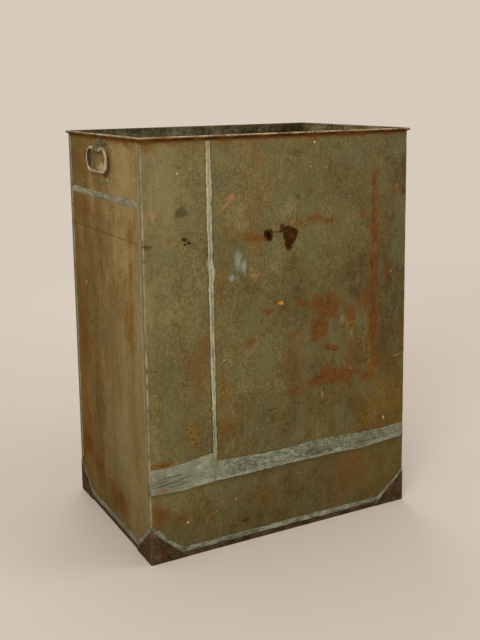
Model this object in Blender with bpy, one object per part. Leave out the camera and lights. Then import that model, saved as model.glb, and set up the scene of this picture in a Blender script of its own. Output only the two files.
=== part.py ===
"""Tin steamer trunk with an open top, modelled piece by piece in metres.

+X runs along the front to the right, +Y towards the back and +Z up. The origin is
the middle of the flat base. The back is the front turned half round, and the right
end is the left end turned half round.
"""

from math import acos, copysign, cos, pi, radians, sin

import bmesh
import bpy
from mathutils import Vector

# Overall sizes of the box
HEIGHT = 0.750
WIDTH = 0.548
DEPTH = 0.375
SHEET = 0.0009
CLEARANCE = 0.0003

# Flanges of the front and back sheets, folded round the upright corners
FLANGE = 0.010
FOLD_RADIUS = 0.0016
FOLD_STEPS = 4

# Rim, rolled outwards over a wire and mitred at the corners
RIM_WIRE_RADIUS = 0.0014
RIM_WIRE_SIDES = 16
RIM_DROP = 0.0095
RIM_TRANSITION = 0.0025
CURL_SWEEP = radians(290)
CURL_STEPS = 20

# Joints between the sheets
FRONT_JOINT = 0.150
SEAM_FROM_CORNER_TOP = 0.124
SEAM_FROM_CORNER_FOOT = 0.129
END_JOINT_DROP = 0.113
MIDDLE_SHEET_HEIGHT = 0.068
LAP_REACH = 0.014
LAP_RAMP = 0.0022

# Two holes rusted through the main front sheet
SMALL_HOLE_FROM_CORNER = 0.2415
SMALL_HOLE_DROP = 0.182
SMALL_HOLE_WIDTH = 0.016
SMALL_HOLE_HEIGHT = 0.019
LARGE_HOLE_FROM_CORNER = 0.2875
LARGE_HOLE_DROP = 0.190
LARGE_HOLE_WIDTH = 0.030
LARGE_HOLE_HEIGHT = 0.039
CUT_OVERRUN = 0.004
SMALL_HOLE_SHARES = (
    (-0.41, 0.46), (0.03, 0.50), (0.47, 0.43), (0.52, 0.04), (0.41, -0.35),
    (0.18, -0.52), (-0.13, -0.45), (-0.37, -0.26), (-0.50, -0.06), (-0.48, 0.24),
)
LARGE_HOLE_SHARES = (
    (-0.50, 0.32), (-0.31, 0.50), (-0.08, 0.48), (0.25, 0.45), (0.50, 0.31),
    (0.51, 0.17), (0.40, 0.00), (0.25, -0.16), (0.13, -0.32), (-0.04, -0.45),
    (-0.19, -0.49), (-0.31, -0.38), (-0.35, -0.19), (-0.42, 0.03), (-0.48, 0.19),
)

# Bands over the joint above the base sheet
BAND_BELOW_JOINT = 0.020
LONG_BAND_ABOVE_JOINT = 0.014
SHORT_BAND_ABOVE_JOINT = 0.029
BAND_WAVE = 0.004
BAND_HEM = 0.005
BAND_HEM_RAMP = 0.0012
LONG_HEAD_WAVE_SHARES = (0.9, 0.3, -0.4, -0.3, 0.5, 0.3, -0.5, -0.7, 0.2)
LONG_FOOT_WAVE_SHARES = (0.2, 0.0, 0.2, 0.5, 0.3, 0.5, -0.2, 0.7, 1.6)
SHORT_HEAD_WAVE_SHARES = (-0.8, -1.2, -0.7, 0.5, 1.4)
SHORT_FOOT_WAVE_SHARES = (-0.3, -0.6, -1.0, -0.4, 0.2)

# Solder is thickest between its shoulders and thins to its edges
SOLDER_EDGE = 0.0003
SHOULDER_SHARE = 0.5

# Solder run down the front seam, over the bands at its foot
SEAM_SOLDER_WIDTH = 0.008
SEAM_SOLDER_RISE = 0.0008
SEAM_BULGE_DROP = 0.238
SEAM_BULGE_WIDTH = 0.016
SEAM_BULGE_REACH = 0.022
SEAM_STEPS = 14

# Solder on the ends: a band across, and a fillet along each flange
END_BAND_WIDTH = 0.013
END_BAND_RISE = 0.0008
FILLET_WIDTH = 0.005

# Base: a pan with turned-up sides between four corner caps
BASE_SHEET = 0.0010
BASE_FOLD_RADIUS = 0.0018
BASE_UPSTAND = 0.009
BASE_SOLDER_HEIGHT = 0.011
BASE_SOLDER_RISE = 0.0012
CAP_SHEET = 0.0010
CAP_HEIGHT = 0.063
CAP_REACH = 0.066
CAP_TIP = 0.004
CAP_STEPS = 6
CAP_SOLDER_HEIGHT = 0.010

# Drop handles: a bent wire ring with a waist, held in a rolled strap
HANDLE_WIRE_RADIUS = 0.0031
HANDLE_WIRE_SIDES = 14
HANDLE_SPAN = 0.105
HANDLE_DROP = 0.0485
HANDLE_WAIST = 0.0043
HANDLE_WAIST_RADIUS = 0.014
HANDLE_AXIS_OUT = 0.0085
HANDLE_RUN_GAP = 0.0004
STRAP_SHEET = 0.0010
STRAP_TAB_WIDTH = 0.062
STRAP_TAB_HEIGHT = 0.0107
STRAP_TAB_CHAMFER = 0.003
TONGUE_WIDTH = 0.021
TONGUE_BEND = 0.0020
TONGUE_SLOPE = radians(20)
KNUCKLE_SWEEP = radians(290)
KNUCKLE_STEPS = 20
PLATE_WIDTH = 0.072
PLATE_HEIGHT = 0.063
PLATE_CHAMFER = 0.006
PLATE_BELOW_TONGUE = 0.0008

# Sizes that follow from those above
HALF_WIDTH = WIDTH / 2
HALF_DEPTH = DEPTH / 2
RECESS = SHEET + CLEARANCE
CURL_INSIDE = RIM_WIRE_RADIUS + CLEARANCE
CURL_OUTSIDE = CURL_INSIDE + SHEET
RIM_AXIS = HEIGHT - CURL_OUTSIDE
FLANGE_TOP = HEIGHT - RIM_DROP
JOGGLE_FOOT = FLANGE_TOP + CLEARANCE
MITRE_FOOT = JOGGLE_FOOT + RIM_TRANSITION
WALL_FOOT = BASE_SHEET + CLEARANCE
END_HALF_LENGTH = HALF_DEPTH - FOLD_RADIUS - CLEARANCE
END_JOINT = HEIGHT - END_JOINT_DROP
LAP_EDGE = END_JOINT - MIDDLE_SHEET_HEIGHT
BAND_FOOT = FRONT_JOINT - BAND_BELOW_JOINT
LONG_BAND_HEAD = FRONT_JOINT + LONG_BAND_ABOVE_JOINT
SHORT_BAND_HEAD = FRONT_JOINT + SHORT_BAND_ABOVE_JOINT
SEAM_BULGE_UP = HEIGHT - SEAM_BULGE_DROP
KNUCKLE_RADIUS = HANDLE_WIRE_RADIUS + HANDLE_RUN_GAP + STRAP_SHEET / 2
TAB_OUT = CLEARANCE - RECESS + STRAP_SHEET / 2 - HANDLE_AXIS_OUT
TONGUE_UP = (
    KNUCKLE_RADIUS + TONGUE_BEND - (TAB_OUT + TONGUE_BEND) * sin(TONGUE_SLOPE)
) / cos(TONGUE_SLOPE)
TAB_TOP = JOGGLE_FOOT - CLEARANCE
HANDLE_AXIS_UP = TAB_TOP - STRAP_TAB_HEIGHT - CLEARANCE - TONGUE_UP

# Quarter turns that bring a face modelled at the front to its own side
FRONT, RIGHT, BACK, LEFT = range(4)

OLIVE_PAINT = ((0.130, 0.105, 0.040), 0.62, 0.1)
BROWN_PAINT = ((0.155, 0.105, 0.040), 0.60, 0.1)
GREY_SOLDER = ((0.215, 0.220, 0.160), 0.55, 0.3)
BARE_STEEL = ((0.045, 0.022, 0.009), 0.70, 0.4)
WORN_WIRE = ((0.190, 0.150, 0.090), 0.45, 0.6)


def clear_scene():
    """Remove what an earlier run or the start-up file left."""
    for thing in list(bpy.data.objects):
        bpy.data.objects.remove(thing, do_unlink=True)
    for mesh in list(bpy.data.meshes):
        bpy.data.meshes.remove(mesh)


def finish_mesh(name, bm, smooth_below=radians(35)):
    """Close the mesh with its faces pointing out, smooth where it curves."""
    loose = [vert for vert in bm.verts if not vert.link_faces]
    bmesh.ops.delete(bm, geom=loose, context="VERTS")
    bmesh.ops.recalc_face_normals(bm, faces=bm.faces)
    mesh = bpy.data.meshes.new(name)
    bm.to_mesh(mesh)
    bm.free()
    mesh.shade_smooth()
    mesh.set_sharp_from_angle(angle=smooth_below)
    return mesh


def paint(piece, finish):
    """Give a piece its own material."""
    colour, roughness, metallic = finish
    material = bpy.data.materials.new(piece.name + "_finish")
    material.use_nodes = True
    shader = material.node_tree.nodes["Principled BSDF"]
    shader.inputs["Base Color"].default_value = (*colour, 1)
    shader.inputs["Roughness"].default_value = roughness
    shader.inputs["Metallic"].default_value = metallic
    if not piece.data.materials:
        piece.data.materials.append(None)
    piece.material_slots[0].link = "OBJECT"
    piece.material_slots[0].material = material


def add_piece(name, mesh, finish, turns=FRONT, location=(0, 0, 0), parent=None):
    """Place a mesh as a named piece, turned by quarter turns about +Z."""
    piece = bpy.data.objects.new(name, mesh)
    bpy.context.scene.collection.objects.link(piece)
    piece.location = location
    piece.rotation_euler = (0, 0, turns * pi / 2)
    piece.parent = parent
    paint(piece, finish)
    return piece


def add_empty(name, location, parent=None):
    """Place an empty, which carries pieces and has no shape."""
    empty = bpy.data.objects.new(name, None)
    bpy.context.scene.collection.objects.link(empty)
    empty.location = location
    empty.parent = parent
    return empty


def folded_sheet(name, rows):
    """Make a closed sheet from rows of facing point pairs, None where it has no metal."""
    bm = bmesh.new()
    skins = [
        [[bm.verts.new(pair[side]) if pair else None for pair in row] for row in rows]
        for side in (0, 1)
    ]
    edges = {}
    for i in range(len(rows) - 1):
        for j in range(len(rows[i]) - 1):
            corners = [(i, j), (i, j + 1), (i + 1, j + 1), (i + 1, j)]
            if any(rows[a][b] is None for a, b in corners):
                continue
            bm.faces.new([skins[0][a][b] for a, b in corners])
            bm.faces.new([skins[1][a][b] for a, b in reversed(corners)])
            for start, end in zip(corners, corners[1:] + corners[:1]):
                if edges.pop((end, start), None) is None:
                    edges[(start, end)] = True
    for (a, b), (c, d) in edges:
        bm.faces.new((skins[0][c][d], skins[0][a][b], skins[1][a][b], skins[1][c][d]))
    return finish_mesh(name, bm)


def swept_wire(name, centres, normals, radius, sides, across=Vector((0, 1, 0))):
    """Sweep a round wire along a closed flat path; each normal lies in its plane."""
    bm = bmesh.new()
    rings = []
    for centre, normal in zip(centres, normals):
        ring = []
        for k in range(sides):
            angle = 2 * pi * k / sides
            ring.append(bm.verts.new(
                centre + radius * cos(angle) * normal + radius * sin(angle) * across))
        rings.append(ring)
    for ring, following in zip(rings, rings[1:] + rings[:1]):
        for k in range(sides):
            after = (k + 1) % sides
            bm.faces.new((ring[k], ring[after], following[after], following[k]))
    return finish_mesh(name, bm)


def face_point(half, along, out, up):
    """Point on a face at the front: along it, proud of its plane, and up."""
    return Vector((along, -(half + out), up))


def flat_pair(half, along, up, out=0, thickness=SHEET):
    """Outside and inside point of a flat sheet, its outside proud of the plane by out."""
    outside = face_point(half, along, out, up)
    inside = face_point(half, along, out - thickness, up)
    return outside, inside


def flange_pairs(side, up):
    """Point pairs from a flange's edge round the fold to the front, on one side."""
    pairs = [tuple(
        Vector((side * (HALF_WIDTH - depth), FLANGE - HALF_DEPTH, up))
        for depth in (0, SHEET)
    )]
    for k in range(FOLD_STEPS + 1):
        angle = pi / 2 * k / FOLD_STEPS
        pairs.append(tuple(
            Vector((
                side * (HALF_WIDTH - FOLD_RADIUS + radius * cos(angle)),
                -(HALF_DEPTH - FOLD_RADIUS + radius * sin(angle)),
                up,
            ))
            for radius in (FOLD_RADIUS, FOLD_RADIUS - SHEET)
        ))
    return pairs


def rim_profile():
    """Pairs of (out, up) from the foot of the mitre to the end of the roll."""
    profile = [((0, MITRE_FOOT), (-SHEET, MITRE_FOOT))]
    for k in range(CURL_STEPS + 1):
        angle = pi - CURL_SWEEP * k / CURL_STEPS
        profile.append(tuple(
            (CURL_INSIDE + radius * cos(angle), RIM_AXIS + radius * sin(angle))
            for radius in (CURL_INSIDE, CURL_OUTSIDE)
        ))
    return profile


def mitred_pair(half_away, half_length, side, profile_pair):
    """Pair of points where the rim meets its neighbour at 45 degrees."""
    return tuple(
        face_point(half_away, side * (half_length + out - CLEARANCE), out, up)
        for out, up in profile_pair
    )


def seam_at(up):
    """Place of the front seam along X at a height."""
    share = up / HEIGHT
    from_corner = SEAM_FROM_CORNER_FOOT + share * (SEAM_FROM_CORNER_TOP - SEAM_FROM_CORNER_FOOT)
    return from_corner - HALF_WIDTH


def upper_front_sheet(name, side):
    """Front sheet above the joint: side -1 is the narrow strip, side 1 the main sheet."""
    def seam_pair(pair):
        """Pair at the seam, half a clearance to this sheet's side of it."""
        return tuple(
            face_point(HALF_DEPTH, seam_at(up) + side * CLEARANCE / 2, out, up)
            for out, up in pair
        )

    rows = []
    for up in (FRONT_JOINT + CLEARANCE / 2, FLANGE_TOP):
        rows.append(flange_pairs(side, up) + [seam_pair(((0, up), (-SHEET, up)))])
    for pair in rim_profile():
        above_flange = [None] * (FOLD_STEPS + 1)
        corner = mitred_pair(HALF_DEPTH, HALF_WIDTH, side, pair)
        rows.append(above_flange + [corner, seam_pair(pair)])
    return folded_sheet(name, rows)


def base_front_sheet(name):
    """Sheet between the base and the joint, with a flange at each corner."""
    rows = [
        flange_pairs(-1, up) + flange_pairs(1, up)[::-1]
        for up in (WALL_FOOT, FRONT_JOINT - CLEARANCE / 2)
    ]
    return folded_sheet(name, rows)


def end_row(up, out=-RECESS):
    """Row across an end between the folds of the two corners."""
    return [
        flat_pair(HALF_WIDTH, side * END_HALF_LENGTH, up, out)
        for side in (-1, 1)
    ]


def top_end_sheet(name):
    """Top sheet of an end, set out above the flanges and rolled over the rim wire."""
    rows = [end_row(END_JOINT + CLEARANCE / 2), end_row(JOGGLE_FOOT)]
    for pair in rim_profile():
        rows.append([mitred_pair(HALF_WIDTH, HALF_DEPTH, side, pair) for side in (-1, 1)])
    return folded_sheet(name, rows)


def middle_end_sheet(name):
    """Flat middle sheet of an end."""
    return folded_sheet(name, [end_row(LAP_EDGE), end_row(END_JOINT - CLEARANCE / 2)])


def lower_end_sheet(name):
    """Lower sheet of an end, set in at its top behind the middle sheet."""
    step_top = LAP_EDGE - CLEARANCE
    behind = -RECESS - SHEET - CLEARANCE
    return folded_sheet(name, [
        end_row(WALL_FOOT),
        end_row(step_top - LAP_RAMP),
        end_row(step_top, behind),
        end_row(LAP_EDGE + LAP_REACH, behind),
    ])


def hole_cutter(name, from_corner, drop, width, height, shares):
    """Prism with a hole's outline, right through the front sheet."""
    bm = bmesh.new()
    across_middle = from_corner - HALF_WIDTH
    up_middle = HEIGHT - drop
    rings = []
    for out in (CUT_OVERRUN, -SHEET - CUT_OVERRUN):
        rings.append([
            bm.verts.new(face_point(
                HALF_DEPTH, across_middle + width * across, out, up_middle + height * rise))
            for across, rise in shares
        ])
    bm.faces.new(rings[0])
    bm.faces.new(rings[1][::-1])
    for k in range(len(shares)):
        after = (k + 1) % len(shares)
        bm.faces.new((rings[0][after], rings[0][k], rings[1][k], rings[1][after]))
    cutter = bpy.data.objects.new(name, finish_mesh(name, bm))
    bpy.context.scene.collection.objects.link(cutter)
    cutter.hide_render = True
    cutter.display_type = "WIRE"
    return cutter


def cut_holes(sheet):
    """Cut the two rust holes through a sheet."""
    outlines = {
        "small_hole": (SMALL_HOLE_FROM_CORNER, SMALL_HOLE_DROP, SMALL_HOLE_WIDTH,
                       SMALL_HOLE_HEIGHT, SMALL_HOLE_SHARES),
        "large_hole": (LARGE_HOLE_FROM_CORNER, LARGE_HOLE_DROP, LARGE_HOLE_WIDTH,
                       LARGE_HOLE_HEIGHT, LARGE_HOLE_SHARES),
    }
    for name, outline in outlines.items():
        cut = sheet.modifiers.new(name, "BOOLEAN")
        cut.operation = "DIFFERENCE"
        cut.solver = "EXACT"
        cut.object = hole_cutter(name, *outline)


def band(name, start, end, head, head_shares, foot_shares):
    """Band on the front over a joint, with a doubled hem along its wavy lower edge."""
    steps = len(head_shares) - 1
    rows = [[], [], [], []]
    for k in range(steps + 1):
        foot = BAND_FOOT + BAND_WAVE * foot_shares[k]
        top = head + BAND_WAVE * head_shares[k]
        hem = CLEARANCE + 2 * SHEET
        single = CLEARANCE + SHEET
        levels = (
            (foot, hem),
            (foot + BAND_HEM, hem),
            (foot + BAND_HEM + BAND_HEM_RAMP, single),
            (top, single),
        )
        for row, (up, out) in zip(rows, levels):
            along = start(up) + (end(up) - start(up)) * k / steps
            row.append(flat_pair(HALF_DEPTH, along, up, out, out - CLEARANCE))
    return folded_sheet(name, rows)


def short_band(name):
    """Band on the narrow strip, from the left corner to the seam."""
    return band(
        name,
        lambda up: FOLD_RADIUS - HALF_WIDTH,
        lambda up: seam_at(up) - CLEARANCE / 2,
        SHORT_BAND_HEAD, SHORT_HEAD_WAVE_SHARES, SHORT_FOOT_WAVE_SHARES)


def long_band(name):
    """Band on the main sheet, from the seam to the right corner."""
    return band(
        name,
        lambda up: seam_at(up) + CLEARANCE / 2,
        lambda up: HALF_WIDTH - FOLD_RADIUS,
        LONG_BAND_HEAD, LONG_HEAD_WAVE_SHARES, LONG_FOOT_WAVE_SHARES)


def rounded_section(rise):
    """Places across a run of solder and its thickness there, as shares of half its width."""
    return (
        (-1, SOLDER_EDGE), (-SHOULDER_SHARE, rise), (SHOULDER_SHARE, rise), (1, SOLDER_EDGE),
    )


def seam_solder_width(up):
    """Width of the solder down the seam, with a blob part of the way up."""
    away = abs(up - SEAM_BULGE_UP)
    if away >= SEAM_BULGE_REACH:
        return SEAM_SOLDER_WIDTH
    swell = (1 + cos(pi * away / SEAM_BULGE_REACH)) / 2
    return SEAM_SOLDER_WIDTH + (SEAM_BULGE_WIDTH - SEAM_SOLDER_WIDTH) * swell


def seam_solder(name):
    """Low rounded run of solder down the seam, stepping out over the bands."""
    band_top = SHORT_BAND_HEAD + BAND_WAVE * max(SHORT_HEAD_WAVE_SHARES)
    on_band = 2 * CLEARANCE + SHEET
    step_foot = band_top + CLEARANCE
    step_head = step_foot + RECESS
    highest_foot = max(SHORT_FOOT_WAVE_SHARES[-1], LONG_FOOT_WAVE_SHARES[0])
    hem_top = BAND_FOOT + BAND_HEM + BAND_HEM_RAMP + BAND_WAVE * highest_foot
    foot = hem_top + CLEARANCE
    levels = [(foot, on_band), (step_foot, on_band), (step_head, CLEARANCE)]
    top = FLANGE_TOP
    levels += [
        (step_head + (top - step_head) * k / SEAM_STEPS, CLEARANCE)
        for k in range(1, SEAM_STEPS + 1)
    ]
    levels += [
        (SEAM_BULGE_UP + SEAM_BULGE_REACH * share, CLEARANCE)
        for share in (-1, -SHOULDER_SHARE, 0, SHOULDER_SHARE, 1)
    ]
    rows = []
    for up, base in sorted(levels):
        half = seam_solder_width(up) / 2
        row = []
        for share, rise in rounded_section(SEAM_SOLDER_RISE):
            row.append(flat_pair(HALF_DEPTH, seam_at(up) + half * share, up, base + rise, rise))
        rows.append(row)
    return folded_sheet(name, rows)


def end_band_solder(name):
    """Low rounded band of solder across an end, over the joint of its sheets."""
    half_length = HALF_DEPTH - FLANGE - FILLET_WIDTH - 2 * CLEARANCE
    base = CLEARANCE - RECESS
    rows = []
    for share, rise in rounded_section(END_BAND_RISE):
        up = END_JOINT + END_BAND_WIDTH / 2 * share
        rows.append([
            flat_pair(HALF_WIDTH, side * half_length, up, base + rise, rise)
            for side in (-1, 1)
        ])
    return folded_sheet(name, rows)


def flange_fillet(name, side):
    """Fillet of solder along the edge of one flange, in the recess of the end."""
    base = CLEARANCE - RECESS
    foot = CAP_HEIGHT + CLEARANCE + CAP_SOLDER_HEIGHT + CLEARANCE
    rows = []
    for up in (foot, FLANGE_TOP):
        row = []
        for share, rise in ((0, SHEET), (1, SOLDER_EDGE)):
            along = side * (HALF_DEPTH - FLANGE - CLEARANCE - FILLET_WIDTH * share)
            row.append(flat_pair(HALF_WIDTH, along, up, base + rise, rise))
        rows.append(row)
    return folded_sheet(name, rows)


def cap_edge(from_corner):
    """Height of a corner cap at a distance from its corner."""
    return CAP_HEIGHT + (CAP_TIP - CAP_HEIGHT) * from_corner / CAP_REACH


def corner_stations():
    """Stations round a corner: signed distance from the fold, and the angle round it.

    Distances below zero run along the first face, those above zero along the second.
    """
    first = [(-(CAP_REACH - (CAP_REACH - FOLD_RADIUS) * k / CAP_STEPS), 0)
             for k in range(CAP_STEPS + 1)]
    fold = [(0, pi / 2 * k / FOLD_STEPS) for k in range(1, FOLD_STEPS)]
    second = [(-away, pi / 2) for away, angle in reversed(first)]
    return first + fold + second


def corner_point(station, proud, up):
    """Point round a corner at the origin, whose faces run along +X and +Y."""
    away, angle = station
    radius = FOLD_RADIUS + proud
    if away < 0:
        return Vector((-away, -proud, up))
    if away > 0:
        return Vector((-proud, away, up))
    return Vector((FOLD_RADIUS - radius * sin(angle), FOLD_RADIUS - radius * cos(angle), up))


def corner_cap(name):
    """Corner cap with a three-cornered wing on each face."""
    rows = [[], []]
    for station in corner_stations():
        head = cap_edge(max(abs(station[0]), FOLD_RADIUS))
        for row, up in zip(rows, (0, head)):
            row.append(tuple(
                corner_point(station, proud, up)
                for proud in (CLEARANCE + CAP_SHEET, CLEARANCE)
            ))
    return folded_sheet(name, rows)


def cap_solder(name, mirror):
    """Solder along the sloping edges of a corner cap; the second face is an end."""
    step = 3 * CLEARANCE
    stations = corner_stations()
    stations += [(FLANGE + CLEARANCE, pi / 2), (FLANGE + step, pi / 2)]
    stations.sort(key=lambda station: (station[0], station[1]))
    rows = [[], [], []]
    for station in stations:
        recessed = station[0] >= FLANGE + step
        base = CLEARANCE - RECESS if recessed else CLEARANCE
        foot = cap_edge(max(abs(station[0]), FOLD_RADIUS)) + CLEARANCE
        levels = ((0, CAP_SHEET), (SHOULDER_SHARE, CAP_SHEET), (1, SOLDER_EDGE))
        for row, (share, rise) in zip(rows, levels):
            up = foot + CAP_SOLDER_HEIGHT * share
            top = max(CLEARANCE + rise, base + rise)
            pair = [corner_point(station, proud, up) for proud in (top, base)]
            for point in pair:
                point.x *= mirror
            row.append(tuple(pair))
    return folded_sheet(name, rows)


def base_pan(name):
    """Base pan: a flat plate whose sides turn up outside the walls, between the caps."""
    def fold_stations(half, recess):
        """Pairs of (across, up) from the top of an upstand round its fold to the plate."""
        inside = half - recess + CLEARANCE
        outside = inside + BASE_SHEET
        centre = outside - BASE_FOLD_RADIUS
        stations = [((outside, BASE_UPSTAND), (inside, BASE_UPSTAND))]
        for k in range(FOLD_STEPS + 1):
            angle = pi / 2 * k / FOLD_STEPS
            stations.append(tuple(
                (centre + radius * cos(angle), BASE_FOLD_RADIUS - radius * sin(angle))
                for radius in (BASE_FOLD_RADIUS, BASE_FOLD_RADIUS - BASE_SHEET)
            ))
        return stations

    def axis_stations(half, recess):
        """Stations right across the pan; those of the plate have no fold."""
        folds = fold_stations(half, recess)
        cap_end = half - CAP_REACH
        tab_end = cap_end - CLEARANCE
        plate = [((cap_end, 0), (cap_end, BASE_SHEET)), ((tab_end, 0), (tab_end, BASE_SHEET))]
        near = folds + plate
        far = [tuple((-across, up) for across, up in pair) for pair in reversed(near)]
        return near + far

    last_fold = FOLD_STEPS + 1
    columns = axis_stations(HALF_WIDTH, RECESS)
    lines = axis_stations(HALF_DEPTH, 0)
    count = len(columns)
    rows = []
    for j, line in enumerate(lines):
        from_side = min(j, count - 1 - j)
        row = []
        for i, column in enumerate(columns):
            from_end = min(i, count - 1 - i)
            in_tab_x = from_side > last_fold + 1
            in_tab_y = from_end > last_fold + 1
            if (from_end < last_fold and not in_tab_x) or (from_side < last_fold and not in_tab_y):
                row.append(None)
                continue
            at_end = from_end == last_fold and not in_tab_x
            at_side = from_side == last_fold and not in_tab_y
            cut = FOLD_RADIUS * (1 - cos(pi / 4)) if at_end and at_side else 0
            pair = []
            for side in (0, 1):
                x, x_up = column[side]
                y, y_up = line[side]
                if at_end:
                    x = copysign(HALF_WIDTH - cut, x)
                if at_side:
                    y = copysign(HALF_DEPTH - cut, y)
                pair.append(Vector((x, y, max(x_up, y_up))))
            row.append(tuple(pair))
        rows.append(row)
    return folded_sheet(name, rows)


def base_solder(name, half_away, half_length, base):
    """Solder along the top of one upstand of the base, between two caps."""
    reach = half_length - CAP_REACH - CLEARANCE
    foot = BASE_UPSTAND + CLEARANCE
    rows = []
    levels = ((0, BASE_SOLDER_RISE), (SHOULDER_SHARE, BASE_SOLDER_RISE), (1, SOLDER_EDGE))
    for share, rise in levels:
        up = foot + BASE_SOLDER_HEIGHT * share
        rows.append([
            flat_pair(half_away, side * reach, up, base + rise, rise)
            for side in (-1, 1)
        ])
    return folded_sheet(name, rows)


def rim_wire(name):
    """Wire inside the rolled rim, mitred at its four corners."""
    centres = []
    normals = []
    for x, y in ((1, 1), (-1, 1), (-1, -1), (1, -1)):
        centres.append(Vector((
            x * (HALF_WIDTH + CURL_INSIDE), y * (HALF_DEPTH + CURL_INSIDE), RIM_AXIS)))
        normals.append(Vector((x, y, 0)))
    return swept_wire(name, centres, normals, RIM_WIRE_RADIUS, RIM_WIRE_SIDES, Vector((0, 0, 1)))


def handle_path():
    """Centre line of a handle ring: (along, up) from the middle of its waist."""
    loop = HANDLE_DROP / 2 - HANDLE_WIRE_RADIUS
    bend = HANDLE_WAIST_RADIUS
    turn = acos(1 - HANDLE_WAIST / (loop + bend))
    side = HANDLE_SPAN / 2 - HANDLE_WIRE_RADIUS - loop
    straight = side - (loop + bend) * sin(turn)
    waist_steps = 5
    loop_steps = 18
    half = [(0, 0)]
    for k in range(waist_steps):
        angle = turn * k / waist_steps
        half.append((straight + bend * sin(angle), bend - bend * cos(angle)))
    for k in range(loop_steps + 1):
        angle = pi / 2 + turn - (pi + turn) * k / loop_steps
        half.append((side + loop * cos(angle), HANDLE_WAIST - loop + loop * sin(angle)))
    half.append((0, HANDLE_WAIST - 2 * loop))
    other = [(-along, up) for along, up in reversed(half[1:-1])]
    return half + other


def handle_ring(name):
    """Bent wire ring with its origin on the hinge axis through its waist."""
    points = [Vector((along, 0, up)) for along, up in handle_path()]
    normals = []
    for k, point in enumerate(points):
        before = (point - points[k - 1]).normalized()
        after = (points[(k + 1) % len(points)] - point).normalized()
        tangent = (before + after).normalized()
        normals.append(Vector((tangent.z, 0, -tangent.x)))
    return swept_wire(name, points, normals, HANDLE_WIRE_RADIUS, HANDLE_WIRE_SIDES)


def strap_path():
    """Centre line of the strap: (out, up, out normal, up normal, half width)."""
    tab_top = TAB_TOP - HANDLE_AXIS_UP
    tab_foot = tab_top - STRAP_TAB_HEIGHT
    wide = STRAP_TAB_WIDTH / 2
    cut = STRAP_TAB_CHAMFER
    stations = [
        (TAB_OUT, tab_top, 1, 0, wide - cut),
        (TAB_OUT, tab_top - cut, 1, 0, wide),
        (TAB_OUT, tab_foot + cut, 1, 0, wide),
        (TAB_OUT, tab_foot, 1, 0, wide - cut),
        (TAB_OUT, TONGUE_UP, 1, 0, 0),
    ]
    bend_steps = 4
    turn = pi / 2 - TONGUE_SLOPE
    for k in range(1, bend_steps + 1):
        angle = turn * k / bend_steps
        out = TAB_OUT + TONGUE_BEND - TONGUE_BEND * cos(angle)
        up = TONGUE_UP - TONGUE_BEND * sin(angle)
        stations.append((out, up, cos(angle), sin(angle), 0))
    for k in range(KNUCKLE_STEPS + 1):
        angle = pi / 2 - TONGUE_SLOPE - KNUCKLE_SWEEP * k / KNUCKLE_STEPS
        out = KNUCKLE_RADIUS * cos(angle)
        up = KNUCKLE_RADIUS * sin(angle)
        stations.append((out, up, cos(angle), sin(angle), 0))
    return stations


def handle_strap(name):
    """Strap with a wide flat tab and a narrow tongue rolled round the handle's waist."""
    narrow = TONGUE_WIDTH / 2
    rows = []
    for out, up, out_normal, up_normal, wide in strap_path():
        row = []
        for along in (-wide, -narrow, narrow, wide):
            if wide == 0 and along == 0:
                row.append(None)
                continue
            row.append(tuple(
                Vector((along, -(out + side * STRAP_SHEET / 2 * out_normal),
                        up + side * STRAP_SHEET / 2 * up_normal))
                for side in (1, -1)
            ))
        rows.append(row)
    return folded_sheet(name, rows)


def handle_plate(name):
    """Flat plate with cut corners behind a handle ring."""
    half = PLATE_WIDTH / 2
    cut = PLATE_CHAMFER
    top = TONGUE_UP - TONGUE_BEND - STRAP_SHEET / 2 - PLATE_BELOW_TONGUE
    foot = top - PLATE_HEIGHT
    out = CLEARANCE - RECESS + SHEET - HANDLE_AXIS_OUT
    rows = []
    for up, wide in ((foot, half - cut), (foot + cut, half), (top - cut, half), (top, half - cut)):
        rows.append([flat_pair(0, along, up, out) for along in (-wide, wide)])
    return folded_sheet(name, rows)


def add_front(prefix, turns, trunk, meshes):
    """Place the sheets, bands and seam of the front, or of the back."""
    for part, finish in (("strip_sheet", OLIVE_PAINT), ("main_sheet", OLIVE_PAINT),
                         ("base_sheet", OLIVE_PAINT), ("short_band", GREY_SOLDER),
                         ("long_band", GREY_SOLDER), ("seam_solder", GREY_SOLDER)):
        add_piece(prefix + "_" + part, meshes[part], finish, turns, parent=trunk)


def add_end(prefix, turns, trunk, meshes):
    """Place the sheets, solder, plate, strap and swinging ring of one end."""
    for part, finish in (("top_sheet", BROWN_PAINT), ("middle_sheet", BROWN_PAINT),
                         ("lower_sheet", BROWN_PAINT), ("band_solder", GREY_SOLDER)):
        add_piece(prefix + "_" + part, meshes[part], finish, turns, parent=trunk)
    side = 1 if turns == RIGHT else -1
    axis = (side * (HALF_WIDTH + HANDLE_AXIS_OUT), 0, HANDLE_AXIS_UP)
    pivot = add_empty(prefix + "_handle_pivot", axis, trunk)
    add_piece(prefix + "_handle_ring", meshes["handle_ring"], WORN_WIRE, turns, parent=pivot)
    for part in ("handle_strap", "handle_plate"):
        add_piece(prefix + "_" + part, meshes[part], GREY_SOLDER, turns, axis, trunk)


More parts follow.
